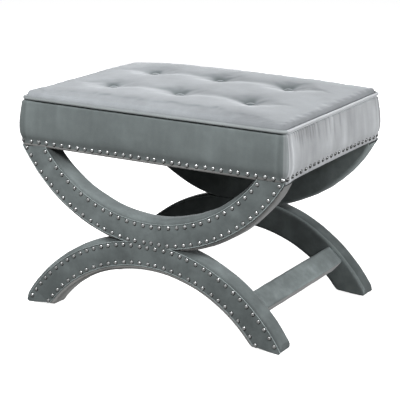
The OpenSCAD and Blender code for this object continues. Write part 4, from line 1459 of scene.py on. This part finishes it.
def set_nails(name, node, places):
    """Copies the nail head to each (point, outward direction), and joins the copies into one piece."""
    first = nail_head(name + "_head")
    chance = random.Random(name)
    shape = points(first)
    made = []
    for i, (place, direction) in enumerate(places):
        tilt = Vector((chance.gauss(0, NAIL_TILT), chance.gauss(0, NAIL_TILT), 1)).normalized()
        turn = Vector(direction).to_track_quat("Z", "Y").to_matrix()
        lean = Vector((0, 0, 1)).rotation_difference(tilt).to_matrix()
        matrix = np.array(turn @ lean @ Matrix.Rotation(chance.uniform(0, 6.28), 3, "Z"))
        nail = copy_piece(first, f"{name}_{i}")
        move_points(nail, shape @ matrix.T + np.array(place))
        made.append(nail)
    bpy.data.objects.remove(first)
    piece = join_pieces(made, name)
    finish_piece(piece, "nickel", [node], smooth=math.radians(50))
    return piece


# The most that a nail strays along its row, and the usual amount, as shares of the nails' wander
MOST_STRAY_SHARE, USUAL_STRAY_SHARE = 1.6, 0.7


def stray(chance, i, count):
    """How far nail number i strays along its row; the two end nails stay."""
    if i in (0, count - 1):
        return 0
    share = chance.gauss(0, USUAL_STRAY_SHARE)
    return max(-MOST_STRAY_SHARE, min(MOST_STRAY_SHARE, share)) * nails().wander


class SetArcNails(bpy.types.Operator):
    """Sets two rows of nails along the face of each arc"""

    bl_idname = "footstool.set_arc_nails"
    bl_label = "Arc Nails"

    # How far the end nails of a row are from the arc's end: outer and inner row
    upper_ends_in, lower_ends_in = (0.007, 0.010), (0.013, 0.008)
    # Space between a nail and the level of the crossing
    crossing_gap = 0.0005

    def execute(self, context):
        a, n = arcs(), nails()
        drop = arc_centre() - (a.top - a.crossing)
        radii = (a.radius - a.outer_row, a.radius - a.width + a.inner_row)
        for back, lower in ARCS:
            name, way = arc_name(back, lower), -1 if back else 1
            ends_in = self.lower_ends_in if lower else self.upper_ends_in
            counts = (n.lower_outer, n.lower_inner) if lower else (n.upper_outer, n.upper_inner)
            y = -way * (a.middle + a.thickness / 2 - ARC_NAILS_IN)
            places = []
            for r, end_in, count in zip(radii, ends_in, counts):
                chance = random.Random(f"{name} {r:.3f}")
                last = math.acos((drop + end_in) / r)
                for i in range(count):
                    turn = last * (2 * i / (count - 1) - 1) + stray(chance, i, count) / r
                    z = max(arc_centre() - r * math.cos(turn), n.radius + self.crossing_gap)
                    place = (way * r * math.sin(turn), y, a.crossing + (-z if lower else z))
                    places.append((place, (0, -way, 0)))
            set_nails(name + "_nail_rows", name + "_nails", places)
        return {"FINISHED"}


class SetBandNails(bpy.types.Operator):
    """Sets the row of nails along the band's hem"""

    bl_idname = "footstool.set_band_nails"
    bl_label = "Band Nails"

    # How far a side's last nails are from its corners, at the front and back and at the two ends
    long_side_in, short_side_in = 0.006, 0.010
    # How much the level of a nail varies
    level_spread = 0.0004

    def execute(self, context):
        s, n = seat(), nails()
        places = []
        for quarter in range(4):
            half, across, corner_in, count = (
                (s.rail_y, s.rail_x, self.short_side_in, n.side) if quarter % 2
                else (s.rail_x, s.rail_y, self.long_side_in, n.front)
            )
            chance = random.Random(200 + quarter)
            flat, bend_r = half - s.rail_round, s.rail_round + s.hem_out
            last = half + s.hem_out - corner_in
            turned = Matrix.Rotation(quarter * math.pi / 2, 3, "Z")
            for i in range(count):
                x = last * (2 * i / (count - 1) - 1) + stray(chance, i, count)
                bend = math.asin(min(1, (abs(x) - flat) / bend_r)) if abs(x) > flat else 0
                out = across - s.rail_round + bend_r * math.cos(bend) - BAND_NAILS_IN
                place = turned @ Vector((x, -out, s.nail_level + chance.gauss(0, self.level_spread)))
                place.z -= float(hem_droop(place.x, place.y))
                if quarter % 2:
                    place.z += float(side_lift(place.y))
                direction = turned @ Vector((math.copysign(math.sin(bend), x), -math.cos(bend), 0))
                places.append((place + direction * float(corner_fullness(place.x, place.y)), direction))
        piece = set_nails("band_nail_row", "band_nails", places)
        # Painted shade: the nails on the seat's ends take the darker nickel
        clothe_faces(piece, "nickel_side", self.on_ends)
        return {"FINISHED"}

    def on_ends(self, centres, normals):
        """Finds the nails on the seat's left and right ends."""
        return np.abs(centres[:, 0]) > seat().rail_x + seat().hem_out


class MakeStretchers(bpy.types.Operator):
    """Makes the velvet covers of the two stretchers"""

    bl_idname = "footstool.make_stretchers"
    bl_label = "Stretchers"

    # Radius of a cover's edges, fineness and smoothing of its mesh, and how much it is stretched to its ends
    corner, voxel, smoothing, stretched = 0.004, 0.0028, 4, 1.01
    # Puckers along it: first seed, number, width and height
    puckers = (300, 14, 0.012, 0.0003)
    # Broad unevenness: height, fineness and first seed
    bulge = (0.0004, 22.0, 80)
    # How far the padding fills it out, the distance from its ends where that fades, and the least share there
    fill_out, end_fade, end_share = 0.0013, 0.010, 0.2
    # Faces whose normals point further down than this have the underside's finish, pale with painted light
    # from the floor
    under_normal = -0.35

    def execute(self, context):
        a = arcs()
        half = a.middle - a.thickness / 2
        for side, node in ((1, "right_stretcher_cover"), (-1, "left_stretcher_cover")):
            deselect()
            bpy.ops.mesh.primitive_cube_add(size=2)
            piece = name_active(node.replace("cover", "velvet"))
            edit(piece)
            bpy.ops.transform.resize(value=(a.stretcher_depth / 2, half, a.stretcher_width / 2))
            leave_edit()
            edit_chosen(piece, "edges", lambda ends: np.ptp(ends[:, 1]) > half)
            bpy.ops.mesh.bevel(offset=self.corner, segments=3, affect="EDGES")
            leave_edit()
            apply_modifier(piece, "REMESH", mode="VOXEL", voxel_size=self.voxel)
            apply_modifier(piece, "SMOOTH", factor=0.5, iterations=self.smoothing, use_y=False)
            co = points(piece)
            co[:, 1] = np.clip(co[:, 1] * self.stretched, -half, half)
            seed, count, width, height = self.puckers
            puckers = ripples(co[:, 1], side, seed, count, half, width, height)
            bulge = unevenness(co, *self.bulge, side) + puckers + self.fill_out
            towards = co[:, [0, 2]] / np.maximum(np.hypot(co[:, 0], co[:, 2]), TINY)[:, None]
            fade = np.clip((half - np.abs(co[:, 1])) / self.end_fade, self.end_share, 1)
            co[:, [0, 2]] += towards * (bulge * fade)[:, None]
            ux, uz = math.cos(a.stretcher_angle), math.sin(a.stretcher_angle)
            x, z = co[:, 0] * ux - co[:, 2] * uz, co[:, 0] * uz + co[:, 2] * ux
            co[:, 0] = side * (x + a.stretcher_radius * ux)
            co[:, 2] = z + centre_level(lower=True) + a.stretcher_radius * uz
            move_points(piece, co)
            outwards(piece)
            # The stretcher takes a lighter copy of the velvet, painted light with painted shade towards its
            # ends; its underside takes the copy with painted light from the floor
            finish_piece(piece, "velvet", [node], finish="velvet_stretcher")
            clothe_faces(piece, "velvet_under", self.on_underside)
        return {"FINISHED"}

    def on_underside(self, centres, normals):
        """Finds the faces that look down on the floor."""
        return normals[:, 2] < self.under_normal


class MakeDustCover(bpy.types.Operator):
    """Makes the black cloth under the seat, cut away round the frames"""

    bl_idname = "footstool.make_dust_cover"
    bl_label = "Dust Cover"

    # Where the corners that are cut away begin, and the sheet's cuts into squares
    notch_x, notch_y, cuts = 0.240, 0.174, 18
    # The cloth's thickness, how far its middle is below the rails, and how far it sags
    thickness, below, sag = 0.0006, 0.0006, 0.0022
    # Height, fineness and seed of its waves
    waves = (0.0006, 14.0, 9)

    def execute(self, context):
        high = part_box("dust_cover")[1]
        notch = (self.notch_x, self.notch_y)
        deselect()
        bpy.ops.mesh.primitive_plane_add(size=2, location=(0, 0, 0))
        piece = name_active("dust_cloth_sheet")
        edit(piece)
        bpy.ops.transform.resize(value=(high.x, high.y, 1))
        for axis, cut in enumerate(notch):
            for side in (-1, 1):
                place, normal = [0, 0, 0], [0, 0, 0]
                place[axis], normal[axis] = side * cut, 1
                bpy.ops.mesh.select_all(action="SELECT")
                bpy.ops.mesh.bisect(plane_co=place, plane_no=normal)
        leave_edit()
        edit_chosen(piece, "faces", lambda ring: (np.abs(ring.mean(axis=0)[:2]) > notch).all())
        bpy.ops.mesh.delete(type="FACE")
        bpy.ops.mesh.select_all(action="SELECT")
        bpy.ops.mesh.subdivide(number_cuts=self.cuts)
        leave_edit()
        co = points(piece)
        loose = np.clip(1 - (co[:, 0] / high.x) ** 2, 0, 1) * np.clip(1 - (co[:, 1] / high.y) ** 2, 0, 1)
        co[:, 2] = high.z - self.below - self.sag * loose + unevenness(co, *self.waves) * loose
        move_points(piece, co)
        apply_modifier(piece, "SOLIDIFY", thickness=self.thickness, offset=0)
        outwards(piece)
        finish_piece(piece, "dust_cloth", ["dust_cover"])
        cut = 4 * (high.x - self.notch_x) * (high.y - self.notch_y)
        return {"FINISHED"}


# Lamps: name, place, width and power; all aim at the target
LAMPS = (
    ("front_high", (0.0, -1.98, 2.28), 1.0, 87.0),
    ("key_right", (2.73, 0.48, 0.69), 1.0, 62.0),
    ("front_right", (2.20, -1.27, 1.48), 1.0, 24.0),
    ("back_fill", (-0.90, 2.40, 0.55), 0.5, 34.0),
)
LAMP_TARGET = Vector((0, 0, 0.3))
# How brightly the floor and the backdrop shine for the camera alone
FLOOR_GLOW, BACKDROP_GLOW = 0.90, 1.1
# Light of the room low down and overhead, and how much more of it polished metal shows
ROOM_LOW, ROOM_HIGH, ROOM_SHINE = 0.004, 0.03, 14.0
# Where between straight down (0) and up (1) the room's light is low, and where it is high
ROOM_GRADE = (0.42, 0.80)
FLOOR_SIZE = 40
# The photograph's solved camera: its place, the yaw, pitch and roll of its view, then in pixels its focal
# length, the middle of its view and the picture's size, and the width in millimetres that this stands for
CAMERA_PLACE, CAMERA_TURNS = (1.50992, -2.58913, 1.06648), (0.5289, 0.2760, 0.0054)
FOCAL_LENGTH, VIEW_MIDDLE, PICTURE_SIZE, SENSOR_WIDTH = 1464.33, (200.67, 199.86), 400, 36


class SetStage(bpy.types.Operator):
    """Sets the floor, the lights and the camera"""

    bl_idname = "footstool.set_stage"
    bl_label = "Stage"

    def execute(self, context):
        self.floor()
        self.sky()
        self.lights()
        self.camera()
        return {"FINISHED"}

    def floor(self):
        """A white floor for the camera, which gives the stool little light back."""
        deselect()
        bpy.ops.mesh.primitive_plane_add(size=FLOOR_SIZE, location=(0, 0, 0))
        floor = name_active("stage_floor")
        made = Node("stage_white")
        made.tree.nodes.remove(made.shader)
        lit = made.add("ShaderNodeBsdfDiffuse")
        lit.inputs["Color"].default_value = (*palette().floor, 1)
        dim = made.add("ShaderNodeBsdfDiffuse")
        dim.inputs["Color"].default_value = (*palette().floor_bounce, 1)
        glow = made.add("ShaderNodeEmission")
        glow.inputs["Strength"].default_value = FLOOR_GLOW
        seen, mix = made.add("ShaderNodeAddShader"), made.add("ShaderNodeMixShader")
        made.link(lit.outputs[0], seen.inputs[0])
        made.link(glow.outputs[0], seen.inputs[1])
        made.link(made.add("ShaderNodeLightPath").outputs["Is Camera Ray"], mix.inputs[0])
        made.link(dim.outputs[0], mix.inputs[1])
        made.link(seen.outputs[0], mix.inputs[2])
        made.link(mix.outputs[0], made.surface)
        floor.data.materials.append(made.material)

    def sky(self):
        """A dim room that is lighter overhead, behind a backdrop that only the camera sees as white."""
        world = bpy.data.worlds.new("stage_world")
        bpy.context.scene.world = world
        world.use_nodes = True
        tree = world.node_tree
        room = tree.nodes["Background"]
        backdrop = tree.nodes.new("ShaderNodeBackground")
        backdrop.inputs["Color"].default_value = (1, 1, 1, 1)
        backdrop.inputs["Strength"].default_value = BACKDROP_GLOW
        place, split = tree.nodes.new("ShaderNodeTexCoord"), tree.nodes.new("ShaderNodeSeparateXYZ")
        greys = tree.nodes.new("ShaderNodeValToRGB")
        for element, height, grey in zip(greys.color_ramp.elements, ROOM_GRADE, (ROOM_LOW, ROOM_HIGH)):
            element.position = height
            element.color = (grey, grey, grey, 1)
        lift = tree.nodes.new("ShaderNodeMapRange")
        lift.inputs["From Min"].default_value = -1
        path, mix = tree.nodes.new("ShaderNodeLightPath"), tree.nodes.new("ShaderNodeMixShader")
        shine = tree.nodes.new("ShaderNodeMapRange")
        shine.inputs["To Min"].default_value = 1
        shine.inputs["To Max"].default_value = ROOM_SHINE
        for source, target in (
            (place.outputs["Generated"], split.inputs[0]),
            (split.outputs["Z"], lift.inputs["Value"]),
            (lift.outputs["Result"], greys.inputs["Fac"]),
            (greys.outputs["Color"], room.inputs["Color"]),
            (path.outputs["Is Glossy Ray"], shine.inputs["Value"]),
            (shine.outputs["Result"], room.inputs["Strength"]),
            (path.outputs["Is Camera Ray"], mix.inputs[0]),
            (room.outputs[0], mix.inputs[1]),
            (backdrop.outputs[0], mix.inputs[2]),
            (mix.outputs[0], tree.nodes["World Output"].inputs["Surface"]),
        ):
            tree.links.new(source, target)

    def lights(self):
        for name, place, size, power in LAMPS:
            deselect()
            bpy.ops.object.light_add(type="AREA", location=place)
            lamp = bpy.context.active_object
            lamp.name = lamp.data.name = name
            lamp.data.shape = "DISK"
            lamp.data.size = size
            lamp.data.energy = power
            aim = LAMP_TARGET - Vector(place)
            lamp.rotation_euler = aim.to_track_quat("-Z", "Y").to_euler()

    def camera(self):
        """The photograph's viewing angle, from its solved camera."""
        yaw, pitch, roll = CAMERA_TURNS
        level_out = math.cos(pitch)
        forward = Vector((-math.sin(yaw) * level_out, math.cos(yaw) * level_out, -math.sin(pitch)))
        right = Vector((math.cos(yaw), math.sin(yaw), 0))
        up = right.cross(forward)
        right, up = right * math.cos(roll) + up * math.sin(roll), up * math.cos(roll) - right * math.sin(roll)
        data = bpy.data.cameras.new("photo_camera")
        camera = bpy.data.objects.new("photo_camera", data)
        scene = bpy.context.scene
        scene.collection.objects.link(camera)
        matrix = Matrix((right, up, -forward)).transposed().to_4x4()
        matrix.translation = Vector(CAMERA_PLACE)
        camera.matrix_world = matrix
        data.sensor_width = SENSOR_WIDTH
        data.lens = FOCAL_LENGTH / PICTURE_SIZE * SENSOR_WIDTH
        data.shift_x = (PICTURE_SIZE / 2 - VIEW_MIDDLE[0]) / PICTURE_SIZE
        data.shift_y = (VIEW_MIDDLE[1] - PICTURE_SIZE / 2) / PICTURE_SIZE
        data.clip_end = 100
        scene.camera = camera
        scene.view_settings.view_transform = "Standard"


PIECE_OPERATORS = (
    MakeSeatCushion, MakeBand, MakePiping, MakeButtons, MakeArcCovers, MakeFacePanels, MakeStretchers,
    MakeDustCover, SetArcNails, SetBandNails, SetStage,
)
PROPERTY_GROUPS = {
    "footstool_seat": SeatSizes, "footstool_arcs": ArcSizes, "footstool_nails": NailSizes,
    "footstool_palette": Palette,
}


class FootstoolPanel(bpy.types.Panel):
    """Lists the footstool's pieces in the sidebar"""

    bl_idname = "VIEW3D_PT_footstool"
    bl_label = "Footstool"
    bl_space_type = "VIEW_3D"
    bl_region_type = "UI"
    bl_category = "Footstool"

    def draw(self, context):
        for operator in PIECE_OPERATORS:
            self.layout.operator(operator.bl_idname)


CLASSES = (*PROPERTY_GROUPS.values(), *PIECE_OPERATORS, FootstoolPanel)


def register():
    for made in CLASSES:
        bpy.utils.register_class(made)
    for name, group in PROPERTY_GROUPS.items():
        setattr(bpy.types.Scene, name, bpy.props.PointerProperty(type=group))


def unregister():
    for name in PROPERTY_GROUPS:
        delattr(bpy.types.Scene, name)
    for made in reversed(CLASSES):
        bpy.utils.unregister_class(made)


def main():
    register()
    make_materials()
    bpy.ops.footstool.make_seat_cushion()
    bpy.ops.footstool.make_band()
    bpy.ops.footstool.make_piping()
    bpy.ops.footstool.make_buttons()
    bpy.ops.footstool.make_arc_covers()
    bpy.ops.footstool.make_face_panels()
    bpy.ops.footstool.make_stretchers()
    bpy.ops.footstool.make_dust_cover()
    bpy.ops.footstool.set_arc_nails()
    bpy.ops.footstool.set_band_nails()
    bpy.ops.footstool.set_stage()
    deselect()


if __name__ == "__main__":
    main()
